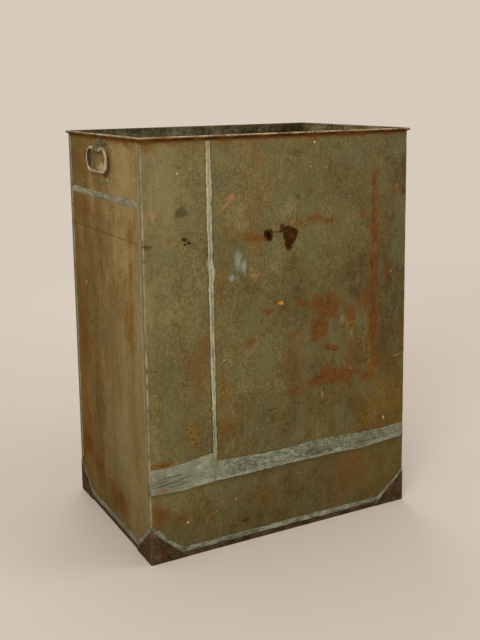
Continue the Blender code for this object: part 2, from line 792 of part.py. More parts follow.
def add_corners(trunk):
    """Place the caps, their solder and the flange fillets at the four corners."""
    cap = corner_cap("corner_cap")
    solder = {mirror: cap_solder("cap_solder", mirror) for mirror in (1, -1)}
    fillet = {side: flange_fillet("flange_fillet", side) for side in (1, -1)}
    for place, x, y, turns in (("front_left", -1, -1, 0), ("front_right", 1, -1, 1),
                               ("back_right", 1, 1, 2), ("back_left", -1, 1, 3)):
        corner = (x * HALF_WIDTH, y * HALF_DEPTH, 0)
        add_piece("corner_cap_" + place, cap, BARE_STEEL, turns, corner, trunk)
        half_turns = FRONT if y < 0 else BACK
        mirror = -x if y < 0 else x
        add_piece("cap_solder_" + place, solder[mirror], GREY_SOLDER, half_turns, corner, trunk)
        end_turns = RIGHT if x > 0 else LEFT
        toward = y if x > 0 else -y
        add_piece("flange_fillet_" + place, fillet[toward], GREY_SOLDER, end_turns, parent=trunk)


def build():
    """Make every piece of the trunk."""
    clear_scene()
    trunk = add_empty("trunk", (0, 0, 0))
    faces = {
        "strip_sheet": upper_front_sheet("strip_sheet", -1),
        "main_sheet": upper_front_sheet("main_sheet", 1),
        "base_sheet": base_front_sheet("base_sheet"),
        "short_band": short_band("short_band"),
        "long_band": long_band("long_band"),
        "seam_solder": seam_solder("seam_solder"),
    }
    ends = {
        "top_sheet": top_end_sheet("top_sheet"),
        "middle_sheet": middle_end_sheet("middle_sheet"),
        "lower_sheet": lower_end_sheet("lower_sheet"),
        "band_solder": end_band_solder("band_solder"),
        "handle_ring": handle_ring("handle_ring"),
        "handle_strap": handle_strap("handle_strap"),
        "handle_plate": handle_plate("handle_plate"),
    }
    add_front("front", FRONT, trunk, faces)
    add_front("back", BACK, trunk, faces)
    cut_holes(bpy.data.objects["front_main_sheet"])
    add_end("left", LEFT, trunk, ends)
    add_end("right", RIGHT, trunk, ends)
    add_corners(trunk)
    add_piece("base_pan", base_pan("base_pan"), BARE_STEEL, parent=trunk)
    long_solder = base_solder("base_solder", HALF_DEPTH, HALF_WIDTH, CLEARANCE)
    short_solder = base_solder("base_solder", HALF_WIDTH, HALF_DEPTH, CLEARANCE - RECESS)
    for place, mesh, turns in (("front", long_solder, FRONT), ("right", short_solder, RIGHT),
                               ("back", long_solder, BACK), ("left", short_solder, LEFT)):
        add_piece("base_solder_" + place, mesh, GREY_SOLDER, turns, parent=trunk)
    add_piece("rim_wire", rim_wire("rim_wire"), BARE_STEEL, parent=trunk)


build()
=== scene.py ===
"""Looks of the steamer trunk: worn paint, rust, verdigris and hand-run solder."""

from collections import namedtuple
from math import atan2, cos, pi, radians, sin

import bmesh
import bpy
from mathutils import Matrix, Vector, noise


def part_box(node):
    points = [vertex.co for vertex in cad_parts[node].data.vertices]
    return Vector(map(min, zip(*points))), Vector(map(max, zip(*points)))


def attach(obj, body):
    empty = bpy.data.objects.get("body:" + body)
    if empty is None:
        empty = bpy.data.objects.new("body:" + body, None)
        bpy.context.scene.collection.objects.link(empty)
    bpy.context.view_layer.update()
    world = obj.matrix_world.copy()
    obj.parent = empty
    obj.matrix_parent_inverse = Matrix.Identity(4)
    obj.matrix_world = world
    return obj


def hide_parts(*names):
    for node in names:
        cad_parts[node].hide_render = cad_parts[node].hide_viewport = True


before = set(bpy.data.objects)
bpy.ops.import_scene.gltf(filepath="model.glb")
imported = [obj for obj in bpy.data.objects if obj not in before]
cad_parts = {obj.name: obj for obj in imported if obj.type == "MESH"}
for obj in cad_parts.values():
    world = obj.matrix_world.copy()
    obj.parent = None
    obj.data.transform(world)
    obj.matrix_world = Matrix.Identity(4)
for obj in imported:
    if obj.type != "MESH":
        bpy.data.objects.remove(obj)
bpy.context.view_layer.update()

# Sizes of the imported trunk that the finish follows, in metres
HEIGHT = 0.750
WIDTH = 0.548
DEPTH = 0.375
SHEET = 0.0009
CLEARANCE = 0.0003
RECESS = SHEET + CLEARANCE
FOLD_RADIUS = 0.0016
FLANGE = 0.010
FLANGE_TOP = 0.7405
BAND_FOOT = 0.130
LONG_BAND_HEAD = 0.164
SHORT_BAND_HEAD = 0.179
BAND_WAVE = 0.004
SEAM_FROM_CORNER_TOP = 0.124
SEAM_FROM_CORNER_FOOT = 0.129
END_JOINT = 0.637
LAP_EDGE = 0.569
CAP_HEIGHT = 0.063
CAP_REACH = 0.066
CAP_TIP = 0.004
CAP_SHEET = 0.0010
CAP_SOLDER_HEIGHT = 0.010
BASE_UPSTAND = 0.009
BASE_SOLDER_HEIGHT = 0.011
BASE_SOLDER_RISE = 0.0012
HALF_WIDTH = WIDTH / 2
HALF_DEPTH = DEPTH / 2

FRONT, RIGHT, BACK, LEFT = range(4)
LONG_SIDES = (FRONT, BACK)
ENDS = (LEFT, RIGHT)
SIDE_NAMES = ("front", "right", "back", "left")

# A mark on a face: its middle from the face's left-hand corner and from the floor,
# its half sizes, its tilt and its strength
Mark = namedtuple("Mark", "along up wide high tilt strength", defaults=(0, 1))


def marks_at(*rows):
    """Marks from rows of their values."""
    return tuple(Mark(*row) for row in rows)


def shade(red, green, blue):
    """Linear colour of an sRGB shade given from 0 to 255."""
    def linear(level):
        share = level / 255
        return share / 12.92 if share <= 0.04045 else ((share + 0.055) / 1.055) ** 2.4
    return (linear(red), linear(green), linear(blue), 1)


def add_node(tree, kind, values, output=0, **settings):
    """Add a node to a tree, set or link its inputs, and return one output."""
    made = tree.nodes.new(kind)
    for key, value in settings.items():
        setattr(made, key, value)
    for key, value in values.items():
        if isinstance(value, bpy.types.NodeSocket):
            tree.links.new(value, made.inputs[key])
        else:
            made.inputs[key].default_value = value
    return made.outputs[output]


class Coat:
    """A material built up in coats. Its helpers return node outputs."""

    def __init__(self, name, bump=0.0006):
        self.material = bpy.data.materials.new(name)
        self.material.use_nodes = True
        self.nodes = self.material.node_tree.nodes
        self.links = self.material.node_tree.links
        self.shader = self.nodes["Principled BSDF"]
        texture = self.nodes.new("ShaderNodeTexCoord")
        self.place = texture.outputs["Object"]
        self.normal = texture.outputs["Normal"]
        self.bump = bump
        self.colour = None
        self.rough = 0.6
        self.height = 0.0

    def node(self, kind, values, output=0, **settings):
        """Add a node to the material and return one output."""
        return add_node(self.material.node_tree, kind, values, output, **settings)

    def math(self, operation, *values, clamp=False):
        """Result of an operation on numbers or outputs."""
        return self.node(
            "ShaderNodeMath", dict(enumerate(values)), operation=operation, use_clamp=clamp)

    def times(self, first, second):
        """Product of two numbers or outputs."""
        return self.math("MULTIPLY", first, second)

    def plus(self, value, share, base):
        """A base with a share of a value added."""
        return self.math("MULTIPLY_ADD", value, share, base)

    def vector(self, operation, *values):
        """Result of an operation on vectors or outputs."""
        output = 1 if operation in ("LENGTH", "DOT_PRODUCT") else 0
        return self.node(
            "ShaderNodeVectorMath", dict(enumerate(values)), output, operation=operation)

    def mix(self, share, first, second, blend="MIX"):
        """Colour between two colours."""
        return self.node(
            "ShaderNodeMix", {0: share, 6: first, 7: second}, 2,
            data_type="RGBA", blend_type=blend)

    def blend(self, share, first, second):
        """Number between two numbers."""
        return self.node("ShaderNodeMix", {0: share, 2: first, 3: second}, 0)

    def step(self, value, start, end, low=0.0, high=1.0):
        """Smooth step from low to high as the value goes from start to end."""
        return self.node(
            "ShaderNodeMapRange",
            {"Value": value, "From Min": start, "From Max": end, "To Min": low, "To Max": high},
            interpolation_type="SMOOTHSTEP")

    def grain(self, size, detail=4, roughness=0.55, stretch=(1, 1, 1), seed=0, output="Fac"):
        """Noise of about that grain size, in metres, longer along a stretched axis."""
        place = self.place
        if tuple(stretch) != (1, 1, 1) or seed:
            scale = tuple(1 / long for long in stretch)
            offset = (seed * 1.37, seed * 2.11, seed * 0.73)
            place = self.vector("MULTIPLY_ADD", place, scale, offset)
        return self.node(
            "ShaderNodeTexNoise",
            {"Vector": place, "Scale": 1 / size, "Detail": detail, "Roughness": roughness},
            output)

    def ramp(self, value, positions, shades):
        """Colour ramp through sRGB shades at positions from 0 to 1."""
        stops = [(position, shade(*levels)) for position, levels in zip(positions, shades)]
        made = self.nodes.new("ShaderNodeValToRGB")
        self.links.new(value, made.inputs[0])
        elements = made.color_ramp.elements
        elements[0].position, elements[0].color = stops[0]
        elements[1].position, elements[1].color = stops[-1]
        for position, colour in stops[1:-1]:
            elements.new(position).color = colour
        return made.outputs[0]

    def lay(self, share, colour, rough=None, height=None):
        """Lay a coat over the earlier ones where share is 1."""
        self.colour = self.mix(share, self.colour, colour)
        if rough is not None:
            self.rough = self.blend(share, self.rough, rough)
        if height is not None:
            self.height = self.plus(share, height, self.height)

    def warped(self, place, *waves):
        """The place shifted by noise; each wave is (size, reach)."""
        for size, reach in waves:
            wave = self.grain(size, detail=2, output="Color")
            centred = self.vector("SUBTRACT", wave, (0.5, 0.5, 0.5))
            place = self.vector("MULTIPLY_ADD", centred, (reach, reach, reach), place)
        return place

    def near(self, place, marks):
        """Nearness to the closest of the marks: its strength in the middle, 0 at its edge."""
        nearest = None
        for mark in marks:
            oval = self.nodes.new("ShaderNodeTexGradient")
            oval.gradient_type = "SPHERICAL"
            oval.texture_mapping.vector_type = "TEXTURE"
            oval.texture_mapping.translation = (mark.along, 0, mark.up)
            oval.texture_mapping.rotation = (0, -radians(mark.tilt), 0)
            oval.texture_mapping.scale = (mark.wide, 1, mark.high)
            self.links.new(place, oval.inputs["Vector"])
            share = oval.outputs["Fac"]
            if mark.strength != 1:
                share = self.times(share, mark.strength)
            nearest = share if nearest is None else self.math("MAXIMUM", nearest, share)
        return 0.0 if nearest is None else nearest

    def finish(self, metallic=0.0, specular=0.2):
        """Join the coats to the shader and return the material."""
        self.links.new(self.colour, self.shader.inputs["Base Color"])
        if isinstance(self.rough, bpy.types.NodeSocket):
            self.links.new(self.rough, self.shader.inputs["Roughness"])
        else:
            self.shader.inputs["Roughness"].default_value = self.rough
        self.shader.inputs["Metallic"].default_value = metallic
        self.shader.inputs["Specular IOR Level"].default_value = specular
        bumped = self.node("ShaderNodeBump", {
            "Strength": 1.0, "Distance": self.bump, "Height": self.height})
        self.links.new(bumped, self.shader.inputs["Normal"])
        return self.material


# Marks on the front, read from the photograph: metres from its left corner and from the floor
FRONT_RUST = marks_at(
    (0.366, 0.424, 0.046, 0.036), (0.35, 0.384, 0.034, 0.026), (0.34, 0.372, 0.02, 0.018),
    (0.376, 0.342, 0.034, 0.008, -18), (0.345, 0.285, 0.044, 0.018, 12),
    (0.4, 0.287, 0.07, 0.026, 0, 0.9), (0.455, 0.274, 0.028, 0.014, 0, 0.7),
    (0.292, 0.271, 0.02, 0.01, 10, 0.7), (0.473, 0.64, 0.0145, 0.11, 0, 0.6),
    (0.4725, 0.56, 0.015, 0.11, 0, 0.85), (0.472, 0.47, 0.015, 0.11, 0, 0.95),
    (0.4725, 0.38, 0.017, 0.11), (0.476, 0.325, 0.015, 0.06, 0, 0.8),
    (0.466, 0.425, 0.028, 0.03, 0, 0.95), (0.502, 0.48, 0.008, 0.036, 0, 0.85),
    (0.313, 0.436, 0.02, 0.011, -15, 0.85), (0.257, 0.444, 0.009, 0.005, 0, 0.8),
    (0.258, 0.575, 0.02, 0.0055, 8), (0.238, 0.43, 0.022, 0.01, 8, 0.75),
    (0.224, 0.411, 0.01, 0.008, 0, 0.6), (0.207, 0.378, 0.018, 0.014, 0, 0.62),
    (0.29, 0.378, 0.022, 0.01, 0, 0.6), (0.374, 0.586, 0.024, 0.012, 8, 0.75),
    (0.445, 0.586, 0.016, 0.01, 0, 0.62), (0.42, 0.41, 0.044, 0.022, 0, 0.55),
    (0.2665, 0.588, 0.006, 0.014, 0, 0.6), (0.33, 0.59, 0.05, 0.01, 8, 0.5),
    (0.215, 0.566, 0.04, 0.01, -4, 0.5), (0.02, 0.088, 0.032, 0.026, 0, 0.55),
    (0.055, 0.076, 0.036, 0.014, 0, 0.5), (0.352, 0.402, 0.014, 0.03, 0, 0.8),
    (0.03, 0.1795, 0.034, 0.0045, 4, 0.75),
)
FRONT_BLUSH = marks_at(
    (0.098, 0.345, 0.034, 0.075, 0, 0.8), (0.114, 0.385, 0.014, 0.04, 0, 0.9),
    (0.205, 0.568, 0.045, 0.014, -8, 0.9), (0.165, 0.584, 0.026, 0.016, 0, 0.7),
    (0.152, 0.228, 0.03, 0.04, 0, 0.8), (0.166, 0.213, 0.01, 0.016), (0.425, 0.085, 0.056, 0.07),
    (0.396, 0.06, 0.026, 0.05, 0, 0.8), (0.018, 0.088, 0.03, 0.034), (0.05, 0.076, 0.034, 0.018),
    (0.232, 0.072, 0.028, 0.036, 0, 0.7), (0.118, 0.062, 0.02, 0.018, 0, 0.6),
    (0.016, 0.735, 0.03, 0.016), (0.058, 0.738, 0.04, 0.012, 0, 0.7),
    (0.155, 0.735, 0.04, 0.01, 0, 0.6), (0.34, 0.735, 0.03, 0.01, 0, 0.6),
    (0.525, 0.638, 0.014, 0.014, 0, 0.9), (0.116, 0.545, 0.012, 0.022, 0, 0.6),
    (0.34, 0.59, 0.06, 0.014, 6, 0.6), (0.425, 0.33, 0.04, 0.04, 0, 0.7),
    (0.052, 0.572, 0.01, 0.01, 0, 0.8), (0.018, 0.18, 0.05, 0.01, 2, 0.9),
    (0.11, 0.13, 0.12, 0.012, 0, 0.3),
)
FRONT_OCHRE = marks_at(
    (0.081, 0.228, 0.03, 0.048, 0, 0.55), (0.5, 0.222, 0.066, 0.06, 0, 0.55),
    (0.464, 0.34, 0.014, 0.07, 0, 0.8), (0.472, 0.3, 0.01, 0.03, 0, 0.8),
    (0.47, 0.19, 0.05, 0.036, 0, 0.5), (0.145, 0.3, 0.01, 0.036, 0, 0.7),
    (0.46, 0.11, 0.004, 0.028, 8, 0.9), (0.168, 0.365, 0.01, 0.03, 0, 0.6),
    (0.415, 0.385, 0.024, 0.026, 0, 0.6), (0.018, 0.54, 0.012, 0.06, 0, 0.6),
)
FRONT_DARK = marks_at(
    # The mark at 0.008, 0.568 is the painted shadow of the step at the front-left corner, where the
    # end's sheets lap
    (0.071, 0.622, 0.016, 0.015, 20), (0.008, 0.568, 0.01, 0.005, 0, 0.9),
    (0.304, 0.637, 0.008, 0.006, 20, 0.6), (0.305, 0.714, 0.034, 0.012, 0, 0.35),
)
FRONT_BLACK = marks_at(
    (0.078, 0.574, 0.0075, 0.007, 0, 0.9), (0.085, 0.568, 0.007, 0.008, 0, 0.9),
    (0.078, 0.565, 0.006, 0.005, 0, 0.8), (0.16, 0.034, 0.02, 0.006, 0, 0.45),
    (0.19, 0.04, 0.014, 0.006, 0, 0.45), (0.268, 0.5735, 0.007, 0.0032, 10),
    (0.376, 0.338, 0.026, 0.0018, -18, 0.3), (0.25, 0.243, 0.024, 0.0014, -4, 0.35),
    (0.282, 0.578, 0.012, 0.006), (0.468, 0.494, 0.0022, 0.012, 0, 0.6),
    # The last mark is the painted shadow of the same step at the corner
    (0.004, 0.5685, 0.007, 0.0016, 0, 0.9),
)
FRONT_CHALK = marks_at(
    (0.42, 0.362, 0.012, 0.016, 0, 0.6), (0.435, 0.47, 0.01, 0.02, 0, 0.5),
    (0.152, 0.474, 0.006, 0.006, 0, 0.6), (0.236, 0.224, 0.006, 0.008, 0, 0.5),
    (0.018, 0.64, 0.004, 0.07, 0, 0.7), (0.28, 0.608, 0.04, 0.016, 0, 0.4),
    (0.026, 0.7, 0.003, 0.06, 3, 0.6), (0.022, 0.54, 0.003, 0.05, -3, 0.6),
    (0.01, 0.16, 0.012, 0.003, 10, 0.6), (0.452, 0.34, 0.003, 0.06, -3, 0.6),
    (0.4, 0.395, 0.012, 0.016, 0, 0.7), (0.404, 0.3, 0.01, 0.006, 0, 0.6),
)
FRONT_FROST = marks_at(
    (0.1905, 0.517, 0.009, 0.022), (0.1785, 0.527, 0.012, 0.022, 0, 0.6),
    (0.168, 0.498, 0.017, 0.008, 0, 0.8),
)
FRONT_PINK = marks_at(
    (0.169, 0.641, 0.01, 0.009, 30), (0.156, 0.627, 0.022, 0.0042, 42, 0.9),
    (0.021, 0.618, 0.005, 0.008), (0.213, 0.4985, 0.014, 0.0045, -6, 0.9),
    (0.205, 0.511, 0.005, 0.007, 0, 0.9), (0.356, 0.253, 0.0035, 0.012, 8),
    (0.419, 0.295, 0.006, 0.004, 0, 0.8), (0.215, 0.384, 0.006, 0.008, 0, 0.6),
    (0.477, 0.535, 0.005, 0.03, 0, 0.5), (0.525, 0.64, 0.006, 0.008, 0, 0.6),
)
FRONT_GOLD = marks_at(
    (0.266, 0.442, 0.007, 0.0052),
)
FRONT_ROT = marks_at(
    (0.2415, 0.568, 0.0105, 0.0125), (0.287, 0.565, 0.018, 0.017), (0.283, 0.55, 0.01, 0.015),
    (0.269, 0.581, 0.006, 0.0105, -20, 0.55),
)
FRONT_FLECKS = marks_at(
    (0.0712, 0.065, 0.0036, 0.0036), (0.339, 0.73, 0.003, 0.003),
    (0.066, 0.688, 0.0034, 0.0022, 0, 0.7), (0.331, 0.6865, 0.0018, 0.002, 0, 0.8),
    (0.365, 0.684, 0.0018, 0.0018, 0, 0.7), (0.523, 0.704, 0.009, 0.0012, 4, 0.4),
    (0.514, 0.4755, 0.0026, 0.0022, 0, 0.8), (0.532, 0.306, 0.02, 0.0012, 12, 0.45),
    (0.505, 0.076, 0.011, 0.0012, 2, 0.35), (0.219, 0.679, 0.001, 0.012, -28, 0.25),
    (0.228, 0.669, 0.001, 0.007, 14, 0.2), (0.15, 0.352, 0.004, 0.0016, 0, 0.8),
    (0.4995, 0.182, 0.003, 0.005, 0, 0.7), (0.128, 0.073, 0.0022, 0.0016, 0, 0.7),
    (0.169, 0.087, 0.0024, 0.0016, 0, 0.7), (0.269, 0.4405, 0.0026, 0.0024, 0, 0.5),
    (0.457, 0.372, 0.0011, 0.04, 0, 0.3), (0.464, 0.322, 0.0011, 0.03, -3, 0.26),
)

# Marks on the bands of the front and back
BAND_CREASES = marks_at(
    (0.485, 0.143, 0.06, 0.0016, 2, 0.8), (0.03, 0.144, 0.04, 0.002, 4, 0.8),
    (0.04, 0.156, 0.036, 0.0016, 4, 0.8), (0.07, 0.15, 0.03, 0.0014, 3, 0.7),
    (0.02, 0.15, 0.026, 0.0014, 4, 0.7), (0.055, 0.139, 0.034, 0.0014, 4, 0.7),
    (0.18, 0.151, 0.012, 0.0012, 6, 0.8), (0.165, 0.156, 0.012, 0.0012, 6, 0.7),
    (0.2, 0.14, 0.06, 0.0012, 4, 0.5), (0.35, 0.14, 0.08, 0.0012, 2, 0.5),
)
BAND_STAINS = marks_at(
    (0.022, 0.132, 0.03, 0.006, 3), (0.04, 0.145, 0.03, 0.005, 4, 0.6),
    (0.11, 0.15, 0.022, 0.012, 0, 0.3),
)

# Marks on the left end, from its back corner as seen from outside
LEFT_RUST = marks_at(
    (0.045, 0.116, 0.06, 0.042, 0, 0.95), (0.115, 0.088, 0.05, 0.034, -20, 0.75),
    (0.215, 0.06, 0.07, 0.036, 0, 0.9), (0.015, 0.08, 0.03, 0.05, 0, 0.7),
    (0.3, 0.738, 0.06, 0.008, 0, 0.5), (0.06, 0.165, 0.03, 0.06, 10, 0.5),
)
LEFT_BLUSH = marks_at(
    (0.32, 0.585, 0.05, 0.05, 0, 0.7), (0.3, 0.42, 0.05, 0.1, 0, 0.7),
    (0.045, 0.34, 0.05, 0.16, 0, 0.8), (0.11, 0.29, 0.03, 0.06, 0, 0.7),
    (0.32, 0.18, 0.04, 0.06, 0, 0.6), (0.31, 0.5, 0.01, 0.06, 0, 0.8),
    (0.06, 0.69, 0.06, 0.05, 0, 0.6), (0.23, 0.69, 0.07, 0.04, 0, 0.4),
    (0.06, 0.6, 0.07, 0.03, 0, 0.8), (0.15, 0.6, 0.08, 0.03, 0, 0.6),
)
LEFT_OCHRE = marks_at(
    (0.31, 0.4, 0.016, 0.11), (0.285, 0.44, 0.03, 0.1, 0, 0.7), (0.24, 0.28, 0.02, 0.07, 0, 0.7),
    (0.175, 0.37, 0.012, 0.06, 0, 0.5), (0.315, 0.52, 0.01, 0.04, 0, 0.9),
    (0.13, 0.56, 0.01, 0.06, 0, 0.6), (0.26, 0.6, 0.05, 0.02, 0, 0.4),
)
LEFT_DARK = marks_at(
    (0.13, 0.22, 0.09, 0.1, 10, 0.28), (0.12, 0.4, 0.09, 0.14, 0, 0.24),
    (0.17, 0.66, 0.06, 0.004, 0, 0.4),
)
LEFT_CHALK = marks_at(
    (0.362, 0.44, 0.01, 0.16, 0, 0.8), (0.003, 0.45, 0.006, 0.26, 0, 0.9),
    (0.362, 0.64, 0.01, 0.06, 0, 0.8), (0.07, 0.655, 0.06, 0.004, 4, 0.6),
)
LEFT_FLECKS = marks_at(
    (0.075, 0.457, 0.004, 0.006, 0, 0.7), (0.345, 0.678, 0.004, 0.003, 0, 0.6),
    (0.312, 0.534, 0.0035, 0.002, 0, 0.6), (0.24, 0.344, 0.003, 0.005, 0, 0.5),
)

# Marks on the hidden sides, which no photograph shows: the same wear in other places
BACK_RUST = marks_at(
    (0.12, 0.3, 0.06, 0.034, 10, 0.9), (0.205, 0.258, 0.04, 0.024, -12, 0.8),
    (0.33, 0.58, 0.03, 0.022, 0, 0.8), (0.088, 0.56, 0.012, 0.11, 0, 0.8),
    (0.09, 0.43, 0.016, 0.09, 0, 0.75), (0.3, 0.22, 0.04, 0.018, 6, 0.7),
    (0.47, 0.38, 0.034, 0.028, 0, 0.7), (0.52, 0.11, 0.036, 0.034, 0, 0.9),
    (0.24, 0.075, 0.06, 0.036, 0, 0.8),
)
BACK_BLUSH = marks_at(
    (0.06, 0.7, 0.07, 0.03, 0, 0.8), (0.38, 0.48, 0.07, 0.08, 0, 0.6),
    (0.22, 0.4, 0.05, 0.1, 0, 0.6), (0.48, 0.6, 0.04, 0.09, 0, 0.6),
    (0.38, 0.08, 0.06, 0.06, 0, 0.7), (0.04, 0.23, 0.05, 0.07, 0, 0.7),
)
BACK_OCHRE = marks_at(
    (0.17, 0.52, 0.03, 0.09, 0, 0.6), (0.4, 0.3, 0.05, 0.06, 0, 0.8),
    (0.05, 0.48, 0.014, 0.1, 0, 0.7),
)
BACK_DARK = marks_at(
    (0.26, 0.66, 0.02, 0.016, 0, 0.9), (0.44, 0.5, 0.018, 0.014, 0, 0.8),
)
BACK_CHALK = marks_at(
    (0.31, 0.42, 0.024, 0.018, 0, 0.7), (0.14, 0.64, 0.018, 0.026, 0, 0.6),
)
BACK_FLECKS = marks_at(
    (0.2, 0.59, 0.003, 0.003, 0, 0.9), (0.455, 0.245, 0.014, 0.0012, 24, 0.7),
    (0.352, 0.652, 0.001, 0.014, 12, 0.7), (0.11, 0.205, 0.003, 0.0026, 0, 0.8),
)
RIGHT_RUST = marks_at(
    (0.09, 0.07, 0.08, 0.036, 0, 0.9), (0.32, 0.1, 0.05, 0.05, 0, 0.9),
    (0.06, 0.5, 0.012, 0.12, 0, 0.7), (0.23, 0.32, 0.034, 0.028, 0, 0.6),
    (0.22, 0.676, 0.05, 0.005, 0, 0.6),
)
RIGHT_BLUSH = marks_at(
    (0.12, 0.42, 0.06, 0.12, 0, 0.7), (0.28, 0.54, 0.06, 0.06, 0, 0.7),
    (0.06, 0.25, 0.05, 0.08, 0, 0.7), (0.3, 0.26, 0.05, 0.09, 0, 0.6),
    (0.12, 0.69, 0.08, 0.04, 0, 0.5),
)
RIGHT_OCHRE = marks_at(
    (0.2, 0.45, 0.02, 0.11, 0, 0.9), (0.31, 0.4, 0.014, 0.09, 0, 0.7),
    (0.15, 0.2, 0.03, 0.06, 0, 0.6),
)
RIGHT_DARK = marks_at(
    (0.21, 0.19, 0.05, 0.06, 0, 0.3), (0.09, 0.6, 0.02, 0.016, 0, 0.6),
)
RIGHT_CHALK = marks_at(
    (0.36, 0.3, 0.01, 0.16, 0, 0.7), (0.3, 0.655, 0.05, 0.004, -4, 0.6),
)
RIGHT_FLECKS = marks_at(
    (0.14, 0.5, 0.004, 0.002, 30, 0.6), (0.262, 0.205, 0.003, 0.003, 0, 0.7),
)

# Stains round a handle, on either end, with grime and the ring's painted shadow on the wall round it
HANDLE_GREEN = marks_at(
    (0.152, 0.727, 0.04, 0.02, 0, 0.62), (0.196, 0.73, 0.034, 0.018, 0, 0.62),
    (0.214, 0.71, 0.012, 0.016, 0, 0.62), (0.198, 0.665, 0.034, 0.01, 0, 0.6),
    (0.16, 0.664, 0.016, 0.006, 0, 0.5),
)
HANDLE_RUBBED = marks_at(
    (0.189, 0.688, 0.026, 0.012), (0.172, 0.687, 0.02, 0.009, 0, 0.8),
    (0.219, 0.668, 0.007, 0.005, 0, 0.9),
)
# Grime and the ring's painted shadow: dark beside its legs and under its bottom bar
HANDLE_GRIME_AND_SHADOW = marks_at(
    (0.125, 0.703, 0.005, 0.027, -6), (0.2235, 0.697, 0.007, 0.023), (0.218, 0.712, 0.007, 0.011),
    (0.168, 0.6785, 0.046, 0.0045), (0.212, 0.679, 0.014, 0.008, 30),
    (0.134, 0.678, 0.012, 0.0055, -30, 0.7), (0.126, 0.722, 0.01, 0.005, 20, 0.7),
)
HANDLE_RUST = marks_at(
    (0.165, 0.741, 0.018, 0.005), (0.214, 0.741, 0.02, 0.005, 0, 0.9),
    (0.214, 0.673, 0.009, 0.006, 0, 0.8), (0.13, 0.742, 0.014, 0.004, 0, 0.7),
    (0.3, 0.742, 0.05, 0.006, 0, 0.6),
)

# Marks that every side has
SideMarks = namedtuple("SideMarks", "rust blush ochre dark chalk flecks")
MARKS = {
    FRONT: SideMarks(FRONT_RUST, FRONT_BLUSH, FRONT_OCHRE, FRONT_DARK, FRONT_CHALK, FRONT_FLECKS),
    RIGHT: SideMarks(RIGHT_RUST, RIGHT_BLUSH, RIGHT_OCHRE, RIGHT_DARK, RIGHT_CHALK, RIGHT_FLECKS),
    BACK: SideMarks(BACK_RUST, BACK_BLUSH, BACK_OCHRE, BACK_DARK, BACK_CHALK, BACK_FLECKS),
    LEFT: SideMarks(LEFT_RUST, LEFT_BLUSH, LEFT_OCHRE, LEFT_DARK, LEFT_CHALK, LEFT_FLECKS),
}

# Shades of the worn surfaces, from dark to light, and where they lie on their ramps
PAINT_STOPS = (0.05, 0.30, 0.5, 0.70, 0.95)
INSIDE_STOPS = (0.05, 0.30, 0.52, 0.75, 0.95)
VERDIGRIS_STOPS = (0.05, 0.35, 0.6, 0.95)
METAL_STOPS = (0.05, 0.4, 0.7, 0.95)
PAINT_SHADES = {
    FRONT: ((62, 48, 16), (82, 68, 32), (92, 79, 42), (104, 92, 54), (124, 112, 72)),
    LEFT: ((84, 60, 14), (104, 80, 34), (118, 94, 47), (133, 110, 62), (153, 130, 86)),
}
PAINT_SHADES[BACK] = PAINT_SHADES[FRONT]
PAINT_SHADES[RIGHT] = PAINT_SHADES[LEFT]
RUST = shade(107, 63, 19)
RUST_DARK = shade(72, 41, 6)
HOLE_RUST = shade(66, 40, 12)
BLUSH = shade(122, 80, 28)
BLUSH_DARK = shade(84, 54, 12)
OCHRE = shade(136, 102, 26)
MOSS_DARK = shade(66, 60, 30)
CREVICE = shade(58, 52, 32)
CHALK = shade(142, 140, 116)
PINK = shade(160, 112, 76)
BLACKENED = shade(40, 18, 0)
FLECK = shade(204, 184, 136)
GOLD = shade(184, 134, 20)
FROST = shade(148, 158, 148)
INSIDE_RUST_SHADES = ((46, 27, 8), (84, 51, 15), (112, 71, 25), (138, 92, 42), (162, 118, 66))
INSIDE_SHADES = ((28, 24, 12), (60, 58, 36), (84, 82, 56), (108, 104, 74), (136, 130, 98))
SEAM_SHADES = ((76, 72, 48), (122, 118, 90), (152, 149, 122), (196, 189, 160))
PALE_SHADES = ((76, 74, 54), (108, 106, 82), (132, 128, 102), (166, 159, 130))
UPRIGHT_SHADES = ((78, 74, 54), (112, 112, 88), (132, 132, 106), (160, 158, 132))
GREY_SHADES = ((56, 52, 36), (88, 87, 66), (111, 112, 92), (148, 149, 129))
BAND_SHADES = ((60, 60, 40), (90, 92, 70), (114, 118, 97), (154, 155, 133))
STEEL_SHADES = ((42, 32, 18), (60, 46, 29), (75, 59, 39), (98, 82, 60))
ROTTEN_SHADES = ((32, 17, 2), (60, 36, 8), (84, 54, 14), (112, 78, 28))
STRAP_SHADES = ((66, 58, 30), (98, 92, 60), (116, 112, 80), (142, 134, 100))
WIRE_SHADES = ((118, 102, 70), (154, 140, 108), (180, 168, 136), (210, 200, 172))
# Painted shade on the inner side of a handle's wire
WIRE_PAINTED_SHADE = shade(34, 22, 6)
GREEN_PAINT = shade(70, 69, 38), shade(116, 112, 76)
BROWN_PAINT = shade(84, 56, 14), shade(134, 98, 46)
FAR_PAINT = shade(80, 50, 0), shade(116, 82, 14)
MOSSY_PAINT = shade(90, 84, 46), shade(128, 122, 86)
NEAR_PAINT = shade(118, 94, 48), shade(166, 142, 98)
OCHRE_PAINT = shade(84, 62, 8), shade(112, 88, 24)
FLANGE_PAINT = shade(84, 66, 30), shade(134, 116, 72)
HANDLE_VERDIGRIS = shade(84, 82, 50), shade(128, 126, 92)
FOOT_DARKENING = shade(48, 38, 12), shade(92, 78, 42)
FLANGE_EDGE = shade(126, 124, 98)
CORNER_WEAR_AND_HIGHLIGHT = shade(154, 146, 112)
RUBBED = shade(186, 164, 120)
